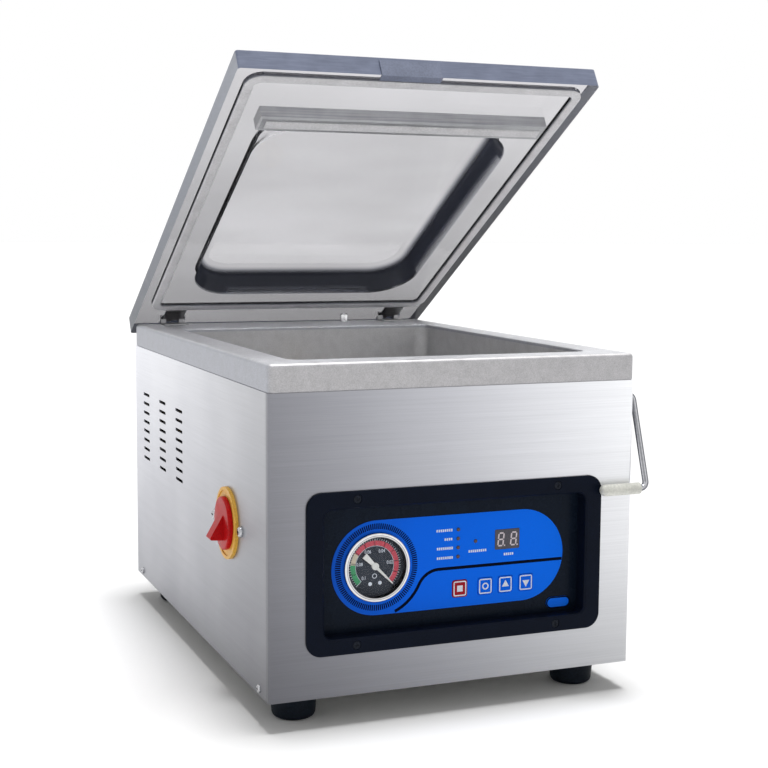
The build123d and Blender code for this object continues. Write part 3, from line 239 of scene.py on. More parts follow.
# Painted reflection and shade on the sides and back: darker towards the bottom, the sides lighter towards the
# back, the back a little darker at its left.
side_painted_shade_tones = (height_span, painted_steel_tones((0.0, 0.24), (0.15, 0.31), (0.6, 0.52), (0.95, 0.68), (1.0, 0.70)))
side_painted_light_depth = (depth_span, ((0.0, even(0.62)), (0.5, even(0.97)), (1.0, even(1.22))))
dress(brushed("side_brushed_steel", side_grain, side_painted_shade_tones, side_painted_light_depth), "left_panel", "right_panel")
back_painted_shade = (width_span, ((0.0, even(0.92)), (1.0, even(1.0))))
dress(brushed("back_brushed_steel", level_grain, side_painted_shade_tones, back_painted_shade), "back_panel")
bright_screw = textured(
    "bright_screw", (0.30, 0.31, 0.33), (0.66, 0.66, 0.68), 0.16, 0.30, 900, 0.02, metal=1.0
)
dress(bright_screw, "panel_screws", "switch_screws")

# ---- Top rim and chamber ----
# A thick satin steel frame round the chamber mouth, with the pressed tub hung under it.
# Both are bead blasted, so the metal is matt with a fine even grain.
rim_steel = textured("rim_steel", (0.43, 0.43, 0.44), (0.60, 0.60, 0.62), 0.42, 0.55, 1500, 0.03, metal=0.85)
rim_low, rim_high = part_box("top_rim")
# Painted shade and highlight: the rim's sides are painted darker and its top lighter, and a thin strip at its
# front is painted a warm highlight.
rim_height_for_highlight = along(rim_steel, "Z", rim_low.z, rim_high.z)
tint(rim_steel, ramp(rim_steel, rim_height_for_highlight, (0.93, (0.86, 0.88, 0.93)), (0.985, (1.26, 1.27, 1.28))))
rim_depth_for_highlight = along(rim_steel, "Y", rim_low.y, rim_high.y)
tint(rim_steel, ramp(rim_steel, rim_depth_for_highlight, (0.001, (1.06, 1.02, 0.96)), (0.008, even(1.0))))
dress(rim_steel, "top_rim")
tub_steel = textured("tub_steel", even(0.52), (0.64, 0.64, 0.65), 0.45, 0.60, 1100, 0.04, metal=0.8)
dress(tub_steel, "chamber_tub")
brass = textured("turned_brass", (0.50, 0.34, 0.12), (0.78, 0.58, 0.26), 0.22, 0.40, 700, 0.03, metal=1.0)
dress(brass, "port_fitting", "valve_block", "gas_port")

# ---- Seal bar ----
# A laminated resin bar with a heater strip along its top, covered by woven tape.
# It stands on the posts of the tub, with the lift bladder under it.
dress(
    textured("resin_bar", srgb(70, 34, 20), srgb(105, 56, 34), 0.35, 0.5, 260, 0.05, (0.1, 1, 1)),
    "seal_bar",
)
dress(
    textured("strip_metal", (0.45, 0.43, 0.40), (0.62, 0.60, 0.56), 0.3, 0.45, 800, 0.02, (0.05, 1, 1), 1.0),
    "heater_strip",
)
weave, weave_shader = shader_of("woven_tape", srgb(150, 112, 70), 0.5)
threads = weave.node_tree.nodes.new("ShaderNodeTexBrick")
threads.inputs["Scale"].default_value = 900
threads.inputs["Color1"].default_value = (*srgb(160, 120, 74), 1)
threads.inputs["Color2"].default_value = (*srgb(138, 98, 58), 1)
threads.inputs["Mortar"].default_value = (*srgb(104, 72, 42), 1)
thread_place = weave.node_tree.nodes.new("ShaderNodeTexCoord")
weave.node_tree.links.new(thread_place.outputs["Object"], threads.inputs["Vector"])
weave.node_tree.links.new(threads.outputs["Color"], weave_shader.inputs["Base Color"])
emboss(weave, weave_shader, threads.outputs["Fac"], 0.4, 0.0001)
dress(weave, "seal_tape")
dress(textured("bladder_rubber", srgb(88, 40, 30), srgb(112, 56, 42), 0.6, 0.8, 500, 0.08), "lift_bladder")

# ---- Control recess ----
# A moulded black bezel set into the front, held by four dark capped screws.
# The fascia plate stands at the back of the recess and carries the controls.


def merged_copy(node, name, body, smooth_angle=32.0):
    """A piece with a CAD node's shape, its loose triangles joined and its round faces smoothed."""
    mesh = cad_nodes[node].data.copy()
    work = bmesh.new()
    work.from_mesh(mesh)
    bmesh.ops.remove_doubles(work, verts=work.verts, dist=0.000002)
    limit = math.radians(smooth_angle)
    for face in work.faces:
        face.smooth = True
    for edge in work.edges:
        edge.smooth = not (edge.is_manifold and edge.calc_face_angle(0.0) > limit)
    clean = bpy.data.meshes.new(name)
    work.to_mesh(clean)
    work.free()
    bpy.data.meshes.remove(mesh)
    piece = bpy.data.objects.new(name, clean)
    bpy.context.scene.collection.objects.link(piece)
    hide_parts(node)
    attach(piece, body)
    return piece


def paint(piece, slot, *materials):
    """Puts finishes on a new piece; its slot argument is not used."""
    piece.data.materials.clear()
    for material in materials:
        piece.data.materials.append(material)


bezel_black = textured(
    "bezel_black", srgb(8, 13, 25), srgb(20, 27, 42), 0.30, 0.42, 1300, 0.05, Specular_IOR_Level=0.05
)
bezel = merged_copy("bezel_frame", "recess_bezel", "chassis")
paint(bezel, "black_plastic", bezel_black)
cap_black = textured(
    "cap_black", srgb(14, 18, 26), srgb(34, 40, 52), 0.35, 0.5, 900, 0.03, Specular_IOR_Level=0.12
)
dress(cap_black, "bezel_screws")
fascia_black = textured(
    "fascia_black", srgb(14, 21, 34), srgb(24, 34, 48), 0.22, 0.34, 900, 0.02, Specular_IOR_Level=0.06
)
dress(fascia_black, "fascia_plate")

# ---- Printed overlay ----
# A blue plastic film with dark and white printing, stuck on the fascia.
# The printing is raised ink: a tick ring round the gauge, a divider, dashes and key outlines.
film, film_shader = shader_of("blue_film", srgb(4, 96, 214), 0.3, Specular_IOR_Level=0.06)
# Painted shade: the film is painted darker towards its left.
film_painted_shade = ramp(
    film,
    along(film, "X", -0.108, 0.105),
    (0.0, srgb(12, 88, 206)),
    (0.35, srgb(4, 106, 244)),
    (1.0, srgb(0, 114, 252)),
)
film_grain = ramp(film, speckle(film, 1800), (0.3, even(0.94)), (0.7, even(1.0)))
stain(film, film_shader, film_painted_shade, film_grain)
emboss(film, film_shader, speckle(film, 2200), 0.12, 0.00003)
dress(film, "control_overlay", "model_badge")
white_ink = textured("white_ink", srgb(214, 222, 236), srgb(240, 244, 250), 0.35, 0.5, 1500, 0.01)
navy_ink = textured(
    "navy_ink", srgb(2, 6, 24), srgb(4, 12, 38), 0.3, 0.45, 1500, 0.01, Specular_IOR_Level=0.03
)
ink = 0.00008
film_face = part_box("control_overlay")[0].y
gauge_low, gauge_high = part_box("gauge_ring")
gauge_x = (gauge_low.x + gauge_high.x) / 2
gauge_z = (gauge_low.z + gauge_high.z) / 2


def rectangle(work, width, height, x=0.0, z=0.0, turn=0.0):
    """A flat rectangle in a mesh being built."""
    turned_round = Matrix.Rotation(turn, 4, "Z")
    place = turned_round @ Matrix.Translation((x, z, 0)) @ Matrix.Diagonal((width, height, 1, 1))
    bmesh.ops.create_grid(work, x_segments=1, y_segments=1, size=0.5, matrix=place)


def ring_part(work, inner, outer, start, sweep, steps, x=0.0, z=0.0):
    """Part of a flat ring, turned out from a short line; angles are in degrees."""
    turn = Matrix.Rotation(math.radians(start), 3, "Z")
    ends = [work.verts.new(turn @ Vector((radius, 0, 0)) + Vector((x, z, 0))) for radius in (inner, outer)]
    line = work.edges.new(ends)
    bmesh.ops.spin(
        work,
        geom=[*ends, line],
        cent=(x, z, 0),
        axis=(0, 0, 1),
        angle=math.radians(sweep),
        steps=steps,
        use_merge=abs(sweep) >= 360,
    )


def frame_outline(work, width, height, corner, band):
    """A flat frame with round corners and an open middle."""
    for side in (-1, 1):
        if width > 2 * corner:
            rectangle(work, width - 2 * corner, band, 0, side * (height - band) / 2)
        if height > 2 * corner:
            rectangle(work, band, height - 2 * corner, side * (width - band) / 2, 0)
    for turn, right, up in ((0, 1, 1), (90, -1, 1), (180, -1, -1), (270, 1, -1)):
        corner_x = right * (width / 2 - corner)
        corner_z = up * (height / 2 - corner)
        ring_part(work, corner - band, corner, turn, 90, 6, corner_x, corner_z)


def print_on(work, name, face_y, body, slot, material, x=0.0, z=0.0, thickness=ink):
    """Thickens flat shapes and stands them on a surface that faces the front."""
    bmesh.ops.remove_doubles(work, verts=work.verts, dist=0.000001)
    bmesh.ops.recalc_face_normals(work, faces=work.faces)
    raised = bmesh.ops.extrude_face_region(work, geom=work.faces[:])
    lifted = [item for item in raised["geom"] if isinstance(item, bmesh.types.BMVert)]
    bmesh.ops.translate(work, verts=lifted, vec=(0, 0, thickness))
    bmesh.ops.recalc_face_normals(work, faces=work.faces)
    work.transform(Matrix.Translation((x, face_y, z)) @ Matrix.Rotation(math.pi / 2, 4, "X"))
    mesh = bpy.data.meshes.new(name)
    work.to_mesh(mesh)
    work.free()
    piece = bpy.data.objects.new(name, mesh)
    bpy.context.scene.collection.objects.link(piece)
    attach(piece, body)
    paint(piece, slot, material)
    return piece


ticks = bmesh.new()
tick_count = 120
tick_length = 0.0047
tick_width = 0.00105
tick_radius = 0.0341
for index in range(tick_count):
    rectangle(ticks, tick_length, tick_width, tick_radius, 0, math.tau * index / tick_count)
print_on(ticks, "tick_ring", film_face, "chassis", "blue_film", navy_ink, gauge_x, gauge_z)

divider = bmesh.new()
band_half = 0.0013
bend_x = -0.0125
bend_z = 0.0994
bend_radius = 0.020
bend_sweep = 64.6
gauge_arc = 0.042
gauge_sweep = -41.6
divider_end = 0.104
rectangle(divider, divider_end - bend_x, 2 * band_half, (divider_end + bend_x) / 2, bend_z + bend_radius)
ring_part(divider, bend_radius - band_half, bend_radius + band_half, 90, bend_sweep, 14, bend_x, bend_z)
arc_start = bend_sweep - 90
ring_part(divider, gauge_arc - band_half, gauge_arc + band_half, arc_start, gauge_sweep, 14, gauge_x, gauge_z)
print_on(divider, "divider_band", film_face, "chassis", "blue_film", navy_ink)

marks = bmesh.new()
dash = 0.0013
dash_step = 0.0019
dash_height = 0.0021
mark_rows = [
    (-0.0004, 0.152, 8),
    (-0.0005, 0.1443, 4),
    (0.0001, 0.1367, 8),
    (0.0002, 0.1286, 8),
    (0.0313, 0.1325, 9),
    (0.0569, 0.1275, 5),
]
for right_end, mark_z, count in mark_rows:
    for index in range(count):
        rectangle(marks, dash, dash_height, right_end - dash / 2 - index * dash_step, mark_z)
print_on(marks, "label_dashes", film_face, "chassis", "blue_film", white_ink)

badge_low, badge_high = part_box("model_badge")
badge_edge = bmesh.new()
badge_height = badge_high.z - badge_low.z
badge_x = (badge_low.x + badge_high.x) / 2
badge_z = (badge_low.z + badge_high.z) / 2
frame_outline(badge_edge, badge_high.x - badge_low.x, badge_height, badge_height * 0.5, 0.0011)
print_on(badge_edge, "badge_edge", badge_low.y, "chassis", "blue_film", navy_ink, badge_x, badge_z)

# ---- Keys ----
# Four caps under the overlay's key windows, each with a white border and a plain sign.
# The stop key is red; the others are blue.
key_blue = textured(
    "key_blue", srgb(0, 98, 232), srgb(0, 108, 248), 0.3, 0.4, 1200, 0.03, Specular_IOR_Level=0.06
)
key_red = textured(
    "key_red", srgb(150, 20, 34), srgb(184, 32, 46), 0.3, 0.4, 1200, 0.03, Specular_IOR_Level=0.08
)


square_side = 0.0052
ring_inner = 0.0019
ring_outer = 0.0030
arrow_radius = 0.0038


def square_sign(work):
    """A filled square, for stop."""
    rectangle(work, square_side, square_side)


def ring_sign(work):
    """An open ring, for set."""
    ring_part(work, ring_inner, ring_outer, 0, 360, 28)


def up_sign(work):
    """A triangle that points up."""
    bmesh.ops.create_circle(work, cap_ends=True, radius=arrow_radius, segments=3)


def down_sign(work):
    """A triangle that points down."""
    half_turn = Matrix.Rotation(math.pi, 4, "Z")
    bmesh.ops.create_circle(work, cap_ends=True, radius=arrow_radius, segments=3, matrix=half_turn)


border_side_in = 0.0039
border_level_in = 0.0037
border_corner = 0.0016
border_band = 0.0010
key_signs = {"stop": square_sign, "set": ring_sign, "up": up_sign, "down": down_sign}
for key, sign in key_signs.items():
    cap = merged_copy(f"{key}_key", f"{key}_cap", f"{key}_button")
    paint(cap, "red_key" if key == "stop" else "key_film", key_red if key == "stop" else key_blue)
    low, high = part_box(f"{key}_key")
    key_x = (low.x + high.x) / 2
    key_z = (low.z + high.z) / 2
    border = bmesh.new()
    border_width = high.x - low.x - border_side_in
    frame_outline(border, border_width, high.z - low.z - border_level_in, border_corner, border_band)
    print_on(border, f"{key}_border", low.y, f"{key}_button", "needle_white", white_ink, key_x, key_z)
    symbol = bmesh.new()
    sign(symbol)
    print_on(symbol, f"{key}_sign", low.y, f"{key}_button", "needle_white", white_ink, key_x, key_z)

# ---- Lamps and display ----
# Five small tinted lamps and a grey window with two slanted seven-bar digits in it.
lamp_tint = textured("lamp_tint", srgb(40, 18, 26), srgb(78, 30, 40), 0.12, 0.2, 900, 0.01, Coat_Weight=0.5)
dress(lamp_tint, "status_lamps")
window_tint = textured(
    "window_tint", srgb(84, 82, 90), srgb(98, 96, 104), 0.2, 0.3, 900, 0.01, Specular_IOR_Level=0.1
)
dress(window_tint, "number_display")
digit_glow = textured("digit_glow", srgb(206, 194, 202), srgb(232, 222, 228), 0.4, 0.5, 1500, 0.01)
display_low, display_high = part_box("number_display")
display_x = (display_low.x + display_high.x) / 2
display_z = (display_low.z + display_high.z) / 2
digit_half = 0.0024
digit_rise = 0.0054
digit_lean = 0.10
bar_width = 0.0012
for side, digit_x in (("left", -0.0060), ("right", 0.0060)):
    digit = bmesh.new()
    for level in (-1, 0, 1):
        rectangle(digit, 2 * digit_half - bar_width, bar_width, digit_x, level * digit_rise)
    for x in (-digit_half, digit_half):
        for level in (-0.5, 0.5):
            rectangle(digit, bar_width, digit_rise - bar_width, digit_x + x, level * digit_rise)
    rectangle(digit, bar_width, bar_width, digit_x + digit_half + 1.3 * bar_width, -digit_rise)
    for vert in digit.verts:
        vert.co.x += vert.co.y * digit_lean
    print_on(
        digit, f"{side}_digit", display_low.y, "chassis", "needle_white", digit_glow, display_x, display_z
    )

# ---- Gauge ----
# A dark dial in a deep case under a flat glass, held by a polished ring.
# Ticks, three coloured bands and plain numbers are printed; the needle rests at zero.
chrome = textured("polished_chrome", (0.72, 0.72, 0.74), (0.86, 0.86, 0.88), 0.05, 0.14, 260, 0.01, metal=1.0)
ring_chrome = textured("ring_chrome_reflections", (0.80, 0.80, 0.82), (0.92, 0.92, 0.94), 0.06, 0.14, 260, 0.01, metal=1.0)
ring_place = ring_chrome.node_tree.nodes.new("ShaderNodeTexCoord")
ring_shift = ring_chrome.node_tree.nodes.new("ShaderNodeMapping")
ring_shift.inputs["Location"].default_value = (-gauge_x, 0.0, -gauge_z)
ring_shift.inputs["Scale"].default_value = (1.0, 0.0, 1.0)
ring_reach = ring_chrome.node_tree.nodes.new("ShaderNodeVectorMath")
ring_reach.operation = "LENGTH"
ring_chrome.node_tree.links.new(ring_place.outputs["Object"], ring_shift.inputs["Vector"])
ring_chrome.node_tree.links.new(ring_shift.outputs["Vector"], ring_reach.inputs[0])
ring_across = spread(ring_chrome, ring_reach.outputs["Value"], 0.0, 1.0, 0.0235, 0.0292)
# Painted reflection: light and dark bands across the ring's width stand in for the reflections in its
# polished face.
painted_reflection_bands = (
    (0.0, 0.5),
    (0.18, 0.95),
    (0.34, 0.22),
    (0.44, 0.9),
    (0.58, 0.30),
    (0.66, 0.95),
    (0.88, 0.85),
    (1.0, 0.4),
)
tint(ring_chrome, ramp(ring_chrome, ring_across, *((place, even(tone)) for place, tone in painted_reflection_bands)))
ring_piece = merged_copy("gauge_ring", "gauge_rim_ring", "chassis", 40)
paint(ring_piece, "bright_chrome", ring_chrome)
dress(
    textured("dial_black", srgb(58, 62, 70), srgb(68, 73, 82), 0.45, 0.6, 1500, 0.02, Specular_IOR_Level=0.1),
    "gauge_dial",
)
dress(textured("case_black", srgb(20, 22, 26), srgb(32, 34, 40), 0.4, 0.55, 900, 0.05), "gauge_case")
dial_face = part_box("gauge_dial")[0].y
dial_ticks = bmesh.new()
scale_start = 225.0
scale_sweep = 270.0
scale_steps = 50
long_tick = (0.0062, 0.00055, 0.0199)
short_tick = (0.0016, 0.0003, 0.0222)
line_inner = 0.01675
line_outer = 0.01705
for index in range(scale_steps + 1):
    turn = math.radians(scale_start - scale_sweep * index / scale_steps)
    length, width, radius = long_tick if index % 5 == 0 else short_tick
    rectangle(dial_ticks, length, width, radius, 0, turn)
ring_part(dial_ticks, line_inner, line_outer, scale_start, -scale_sweep, 60)
print_on(dial_ticks, "dial_ticks", dial_face, "chassis", "needle_white", white_ink, gauge_x, gauge_z)
band_inner = 0.0172
band_outer = 0.0214
dial_bands = [
    ("green", srgb(60, 170, 110), 225, 51),
    ("cream", srgb(226, 214, 190), 174, 28),
    ("red", srgb(220, 78, 96), 146, 191),
]
for colour_name, colour, start, sweep in dial_bands:
    band = bmesh.new()
    ring_part(band, band_inner, band_outer, start, -sweep, max(6, sweep // 5))
    band_ink = textured(f"{colour_name}_ink", tuple(c * 0.85 for c in colour), colour, 0.4, 0.5, 1500, 0.01)
    print_on(band, f"{colour_name}_band", dial_face, "chassis", "dial_face", band_ink, gauge_x, gauge_z)


def numeral(text, size, turn, radius):
    """A plain number on the dial, made a mesh before it is put in place."""
    letters = bpy.data.curves.new(f"number_{text}", "FONT")
    letters.body = text
    letters.size = size
    letters.extrude = ink
    letters.align_x = "CENTER"
    letters.align_y = "CENTER"
    holder = bpy.data.objects.new("number_holder", letters)
    mesh = bpy.data.meshes.new_from_object(holder)
    bpy.data.objects.remove(holder)
    x = gauge_x + radius * math.cos(math.radians(turn))
    z = gauge_z + radius * math.sin(math.radians(turn))
    stand = Matrix.Rotation(math.pi / 2, 4, "X") @ Matrix.Diagonal((0.8, 1, 1, 1))
    mesh.transform(Matrix.Translation((x, dial_face - ink, z)) @ stand)
    piece = bpy.data.objects.new("number_" + text.replace(".", "_"), mesh)
    bpy.context.scene.collection.objects.link(piece)
    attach(piece, "chassis")
    paint(piece, "needle_white", white_ink)


number_size = 0.0041
number_radius = 0.0136
for index, text in enumerate(("0.1", "0.08", "0.06", "0.04", "0.02", "0")):
    numeral(text, number_size, scale_start - scale_sweep * index / 5, number_radius)
dial_screws = bmesh.new()
for x, z in ((-0.0041, -0.0148), (0.0046, -0.0144)):
    bmesh.ops.create_circle(
        dial_screws, cap_ends=True, radius=0.0016, segments=20, matrix=Matrix.Translation((x, z, 0))
    )
print_on(
    dial_screws, "dial_screws", dial_face, "chassis", "needle_white", white_ink, gauge_x, gauge_z, 0.0004
)
dial_circle = bmesh.new()
ring_part(dial_circle, 0.0016, 0.0021, 0, 360, 24, -0.0001, -0.0084)
print_on(dial_circle, "dial_circle", dial_face, "chassis", "needle_white", white_ink, gauge_x, gauge_z)
dress(
    textured("needle_white", srgb(226, 226, 222), srgb(246, 246, 242), 0.35, 0.5, 1200, 0.01),
    "gauge_needle",
)
gauge_glass, glass_shader = shader_of(
    "gauge_glass", (0.98, 0.99, 1.0), 0.02, Transmission_Weight=1.0, IOR=1.12
)
emboss(gauge_glass, glass_shader, speckle(gauge_glass, 40), 0.02, 0.0001)
lens = merged_copy("gauge_lens", "gauge_glass_disc", "chassis")
paint(lens, "clear_glass", gauge_glass)

# ---- Main switch ----
# A red rotary knob with a wedge grip on a yellow moulded disc, screwed to the left panel.
yellow = textured(
    "yellow_disc", srgb(228, 168, 56), srgb(244, 196, 96), 0.3, 0.42, 600, 0.04, Specular_IOR_Level=0.15
)
disc = merged_copy("switch_plate", "switch_disc", "chassis")
paint(disc, "yellow_plate", yellow)
red = textured(
    "knob_red", srgb(172, 14, 18), srgb(204, 26, 30), 0.26, 0.38, 700, 0.04, Specular_IOR_Level=0.1
)
knob = merged_copy("switch_knob", "switch_grip", "knob")
paint(knob, "red_knob", red)
dress(cap_black, "switch_body")

# ---- Side lever ----
# A bent chromed rod that turns in a bush in the right panel, with a moulded off-white grip.
rod = merged_copy("lever_arm", "lever_rod", "lever")
rod_chrome = textured("rod_chrome", (0.72, 0.72, 0.74), (0.86, 0.86, 0.88), 0.08, 0.16, 400, 0.01, metal=1.0)
# Painted reflection: the rod's colour is banded by how squarely each spot faces the view, with a bright line
# and dark edges.
painted_reflection_facing = rod_chrome.node_tree.nodes.new("ShaderNodeLayerWeight")
painted_reflection_facing.inputs["Blend"].default_value = 0.5
tint(
    rod_chrome,
    ramp(
        rod_chrome,
        painted_reflection_facing.outputs["Facing"],
        (0.0, (0.30, 0.31, 0.32)),
        (0.1, (0.80, 0.80, 0.82)),
        (0.28, (0.34, 0.35, 0.37)),
        (0.5, (0.08, 0.085, 0.10)),
        (1.0, (0.42, 0.43, 0.45)),
    ),
)
paint(rod, "bright_chrome", rod_chrome)
grip_white = textured("grip_white", srgb(204, 204, 196), srgb(228, 228, 219), 0.35, 0.5, 500, 0.06)
grip = merged_copy("lever_grip", "lever_handgrip", "lever")
paint(grip, "white_grip", grip_white)
bush = merged_copy("lever_bush", "lever_collar", "chassis")
paint(bush, "zinc_steel", zinc)

# ---- Lid ----
# Clear acrylic, thick and flat round the edge and blown up into a dome in the middle.
# The dome's steep walls are painted dark as painted shade, and the pane's tint is painted lighter and darker
# as painted reflection, sheen and shade; the sawn edges are a smoky grey.
lid = merged_copy("lid_shell", "lid_pane", "lid", 50)
hinge = Vector([joint for joint in frame["joints"] if joint["name"] == "lid_hinge"][0]["pos_m"])
lid_open = math.radians(30)
shut = Matrix.Translation(hinge) @ Matrix.Rotation(lid_open, 4, "X") @ Matrix.Translation(-hinge)
turn_shut = shut.to_3x3()
for mark in ("painted_wall_shade", "reach", "dome"):
    lid.data.attributes.new(mark, "FLOAT", "CORNER")
acrylic, acrylic_shader = shader_of(
    "clear_acrylic", even(0.6), 0.03, Transmission_Weight=1.0, IOR=1.12, Coat_Weight=0.12
)
sawn_front = textured(
    "sawn_front",
    srgb(120, 127, 147),
    srgb(132, 139, 160),
    0.35,
    0.5,
    600,
    0.03,
    (0.1, 1, 1),
    Specular_IOR_Level=0.15,
)
sawn_side = textured(
    "sawn_side", even(0.92), even(1.0), 0.35, 0.5, 600, 0.03, (1, 0.1, 1), Specular_IOR_Level=0.15
)
paint(lid, "clear_acrylic", acrylic, sawn_front, sawn_side)
work = bmesh.new()
work.from_mesh(lid.data)
marks_on = work.loops.layers.float
places = [shut @ vert.co for vert in work.verts]
lid_front = min(place.y for place in places)
lid_back = max(place.y for place in places)
lid_side = max(place.x for place in places)
mouth_side = 0.132
mouth_front = -0.165
mouth_back = 0.182
wall_shade_x = -0.01
wall_shade_y = 0.06
wall_shade_span = 0.08
least_wall_shade = 0.2
edge_width = 0.0015
edge_lean = 0.8
# Painted shade on the dome's walls: strongest where a wall is steep, and on the right and back walls.
wall_shade_of = []
for vert, place in zip(work.verts, places):
    steep = 1 - abs((turn_shut @ vert.normal).z)
    right_part = max(0.0, min(1.0, (place.x - wall_shade_x) / wall_shade_span))
    back_part = max(0.0, min(1.0, (place.y - wall_shade_y) / wall_shade_span))
    wall_shade_of.append(steep * (least_wall_shade + (1 - least_wall_shade) * max(right_part, back_part)))
work.verts.index_update()
for face in work.faces:
    corners = [places[vert.index] for vert in face.verts]
    in_dome = all(abs(spot.x) < mouth_side and mouth_front < spot.y < mouth_back for spot in corners)
    for loop in face.loops:
        loop[marks_on["painted_wall_shade"]] = wall_shade_of[loop.vert.index] if in_dome else 0.0
        loop[marks_on["reach"]] = (places[loop.vert.index].y - lid_front) / (lid_back - lid_front)
        loop[marks_on["dome"]] = 1.0 if in_dome else 0.0
    middle = shut @ face.calc_center_median()
    if abs((turn_shut @ face.normal).z) < edge_lean:
        if middle.y < lid_front + edge_width or middle.y > lid_back - edge_width:
            face.material_index = 1
        elif abs(middle.x) > lid_side - edge_width:
            face.material_index = 2
work.to_mesh(lid.data)
work.free()


def mark_value(material, name):
    """A value stored on the piece's mesh."""
    reader = material.node_tree.nodes.new("ShaderNodeAttribute")
    reader.attribute_name = name
    return reader.outputs["Fac"]


def clear(value):
    """A clear tint, a touch cooler than grey."""
    return value, value * 1.002, value * 1.01


reach = mark_value(acrylic, "reach")
# Painted reflection and shade: the flat pane is painted from light at the front to dark at the back, and the
# dome darker towards its back with a lighter band across its middle.
flat_painted_shade = ramp(
    acrylic,
    reach,
    (0.0, clear(0.70)),
    (0.22, clear(0.61)),
    (0.45, clear(0.46)),
    (0.75, clear(0.36)),
    (0.93, clear(0.27)),
    (1.0, clear(0.24)),
)
dome_painted_light = ramp(
    acrylic,
    reach,
    (0.1, clear(0.60)),
    (0.45, clear(0.56)),
    (0.62, clear(0.60)),
    (0.72, clear(0.56)),
    (0.85, clear(0.47)),
)
choice = acrylic.node_tree.nodes.new("ShaderNodeMix")
choice.data_type = "RGBA"
acrylic.node_tree.links.new(mark_value(acrylic, "dome"), choice.inputs[0])
acrylic.node_tree.links.new(flat_painted_shade, choice.inputs[6])
acrylic.node_tree.links.new(dome_painted_light, choice.inputs[7])
# The painted wall shade darkens the steep walls to near black.
painted_wall_shade = mark_value(acrylic, "painted_wall_shade")
wall_shade_tint = ramp(acrylic, painted_wall_shade, (0.06, even(1.0)), (0.16, (0.42, 0.43, 0.46)), (0.34, (0.08, 0.088, 0.115)))
stain(acrylic, acrylic_shader, choice.outputs[2], wall_shade_tint)
# Painted sheen: stretched random streaks, lighter and darker, stand in for reflections in the acrylic.
sheen_streaks = ramp(
    acrylic,
    speckle(acrylic, 8, (0.6, 1.6, 1), 2.0),
    (0.35, (0.93, 0.92, 0.94)),
    (0.65, (1.08, 1.07, 1.10)),
)
tint(acrylic, sheen_streaks)
lid_links = acrylic.node_tree.links
# The painted wall shade also makes the walls less clear, so they read as solid dark bands.
lid_links.new(spread(acrylic, painted_wall_shade, 1.0, 0.0, 0.16, 0.4), acrylic_shader.inputs["Transmission Weight"])
lid_links.new(spread(acrylic, speckle(acrylic, 30), 0.02, 0.07), acrylic_shader.inputs["Roughness"])
emboss(acrylic, acrylic_shader, speckle(acrylic, 18), 0.05, 0.0001)
side_shade = ramp(
    sawn_side,
    mark_value(sawn_side, "reach"),
    (0.0, srgb(176, 180, 190)),
    (0.5, srgb(148, 152, 162)),
    (1.0, srgb(114, 118, 126)),
)
tint(sawn_side, side_shade)

# ---- Lid seal, pad holder and handle ----
# A pale grey silicone band in its groove, an aluminium bar with a soft pad, and a bent steel lug.
seal_grey = textured("seal_grey", srgb(188, 188, 190), srgb(212, 211, 214), 0.5, 0.65, 700, 0.05)
seal_painted_shade = textured("seal_painted_shade", srgb(120, 122, 130), srgb(138, 140, 148), 0.5, 0.65, 700, 0.05)
gasket = merged_copy("lid_gasket", "lid_seal_band", "lid")
paint(gasket, "grey_seal", seal_grey, seal_painted_shade)
# Painted shade: the seal's sides are painted a darker grey than its top.
seal_lean = 0.35
for face in gasket.data.polygons:
    face.material_index = 1 if abs((turn_shut @ face.normal).z) < seal_lean else 0
bar_metal = textured(
    "bar_metal", (0.30, 0.305, 0.32), (0.42, 0.425, 0.44), 0.3, 0.42, 700, 0.03, (0.02, 1, 1), 0.6
)
holder = merged_copy("pad_holder", "pad_bar", "lid")
paint(holder, "aluminium", bar_metal)
dress(seal_grey, "silicone_pad")
dress(
    textured("handle_metal", srgb(108, 115, 134), srgb(122, 129, 150), 0.35, 0.5, 600, 0.03, metal=0.2),
    "lid_handle",
)

# ---- Hinges and lid switch ----
# Two small steel hinges with coil springs, and a polished plunger that the lid presses.
hinge_steel = textured("hinge_steel", (0.30, 0.30, 0.31), (0.46, 0.46, 0.47), 0.3, 0.45, 700, 0.03, metal=1.0)
dress(hinge_steel, "hinge_base_leaves", "hinge_lid_leaves", "hinge_pins", "hinge_springs")
plunger = merged_copy("lid_plunger", "lid_push_pin", "plunger")
paint(plunger, "bright_chrome", chrome)
dress(cap_black, "lid_switch")

# ---- Works inside the cabinet ----
# The pump, motor, transformer, board, valves and hoses, seen only through the vents.
dress(
    textured("pump_casting", (0.10, 0.11, 0.12), (0.16, 0.17, 0.18), 0.5, 0.7, 300, 0.3, metal=0.4),
    "vacuum_pump",
)
dress(textured("motor_enamel", (0.06, 0.08, 0.10), (0.10, 0.12, 0.14), 0.35, 0.5, 300, 0.12), "pump_motor")
dress(cap_black, "motor_fan")
dress(
    textured(
        "core_sheets", (0.05, 0.045, 0.04), (0.12, 0.11, 0.10), 0.5, 0.7, 900, 0.1, (0.02, 0.02, 1), 0.6
    ),
    "seal_transformer",
)
dress(textured("board_green", srgb(14, 62, 34), srgb(24, 92, 50), 0.35, 0.5, 700, 0.05), "control_board")
dress(
    textured("milky_hose", srgb(150, 154, 150), srgb(184, 188, 182), 0.4, 0.55, 400, 0.08),
    "vacuum_hoses",
    "gauge_tube",
)
dress(textured("inlet_black", srgb(14, 14, 16), srgb(30, 30, 34), 0.4, 0.55, 800, 0.05), "power_inlet")

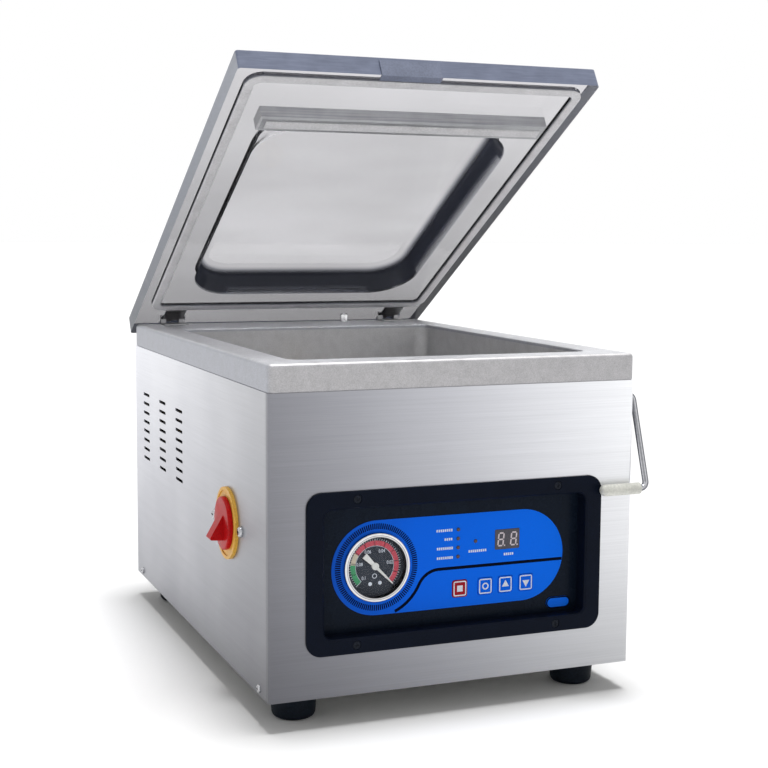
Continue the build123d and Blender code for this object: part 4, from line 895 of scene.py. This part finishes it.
# ---- Floor, light and camera ----
# A plain pale floor, soft light from all round and a soft lamp almost overhead.
floor_mesh = bpy.data.meshes.new("floor")
floor_work = bmesh.new()
bmesh.ops.create_grid(floor_work, x_segments=1, y_segments=1, size=30.0)
floor_work.to_mesh(floor_mesh)
floor_work.free()
floor = bpy.data.objects.new("floor", floor_mesh)
bpy.context.scene.collection.objects.link(floor)
floor_paint = shader_of("floor_paint", even(0.95), 0.9)[0]
floor_mesh.materials.append(floor_paint)

world = bpy.data.worlds.new("studio")
bpy.context.scene.world = world
world.use_nodes = True
sky = world.node_tree.nodes["Background"]
sky.inputs["Color"].default_value = (1.0, 1.0, 1.0, 1.0)
path = world.node_tree.nodes.new("ShaderNodeLightPath")
seen = world.node_tree.nodes.new("ShaderNodeMath")
seen.operation = "MAXIMUM"
seen_all = world.node_tree.nodes.new("ShaderNodeMath")
seen_all.operation = "MAXIMUM"
world.node_tree.links.new(path.outputs["Is Camera Ray"], seen.inputs[0])
world.node_tree.links.new(path.outputs["Is Glossy Ray"], seen.inputs[1])
world.node_tree.links.new(seen.outputs[0], seen_all.inputs[0])
world.node_tree.links.new(path.outputs["Is Transmission Ray"], seen_all.inputs[1])
level = world.node_tree.nodes.new("ShaderNodeMapRange")
level.inputs["To Min"].default_value = 0.40
level.inputs["To Max"].default_value = 1.0
world.node_tree.links.new(seen_all.outputs[0], level.inputs["Value"])
world.node_tree.links.new(level.outputs["Result"], sky.inputs["Strength"])

lamp_data = bpy.data.lights.new("soft_sun", "SUN")
lamp_data.energy = 2.5
lamp_data.angle = math.radians(18)
lamp = bpy.data.objects.new("soft_sun", lamp_data)
lamp.rotation_euler = Vector((-0.06, -0.03, -1.0)).to_track_quat("-Z", "Y").to_euler()
bpy.context.scene.collection.objects.link(lamp)

camera_data = bpy.data.cameras.new("camera")
camera_data.lens = 67.01
camera_data.sensor_width = 36.0
camera_data.shift_x = -0.00178
camera_data.shift_y = -0.00143
camera = bpy.data.objects.new("camera", camera_data)
turn_right = math.radians(22.125)
tip_down = math.radians(6.223)
roll = math.radians(0.417)
level_view = Matrix.Rotation(-turn_right, 4, "Z") @ Matrix.Rotation(math.pi / 2 - tip_down, 4, "X")
aim = level_view @ Matrix.Rotation(roll, 4, "Z")
camera.matrix_world = Matrix.Translation((-0.4959, -1.2943, 0.4035)) @ aim
bpy.context.scene.collection.objects.link(camera)
bpy.context.scene.camera = camera
bpy.context.scene.view_settings.view_transform = "Standard"
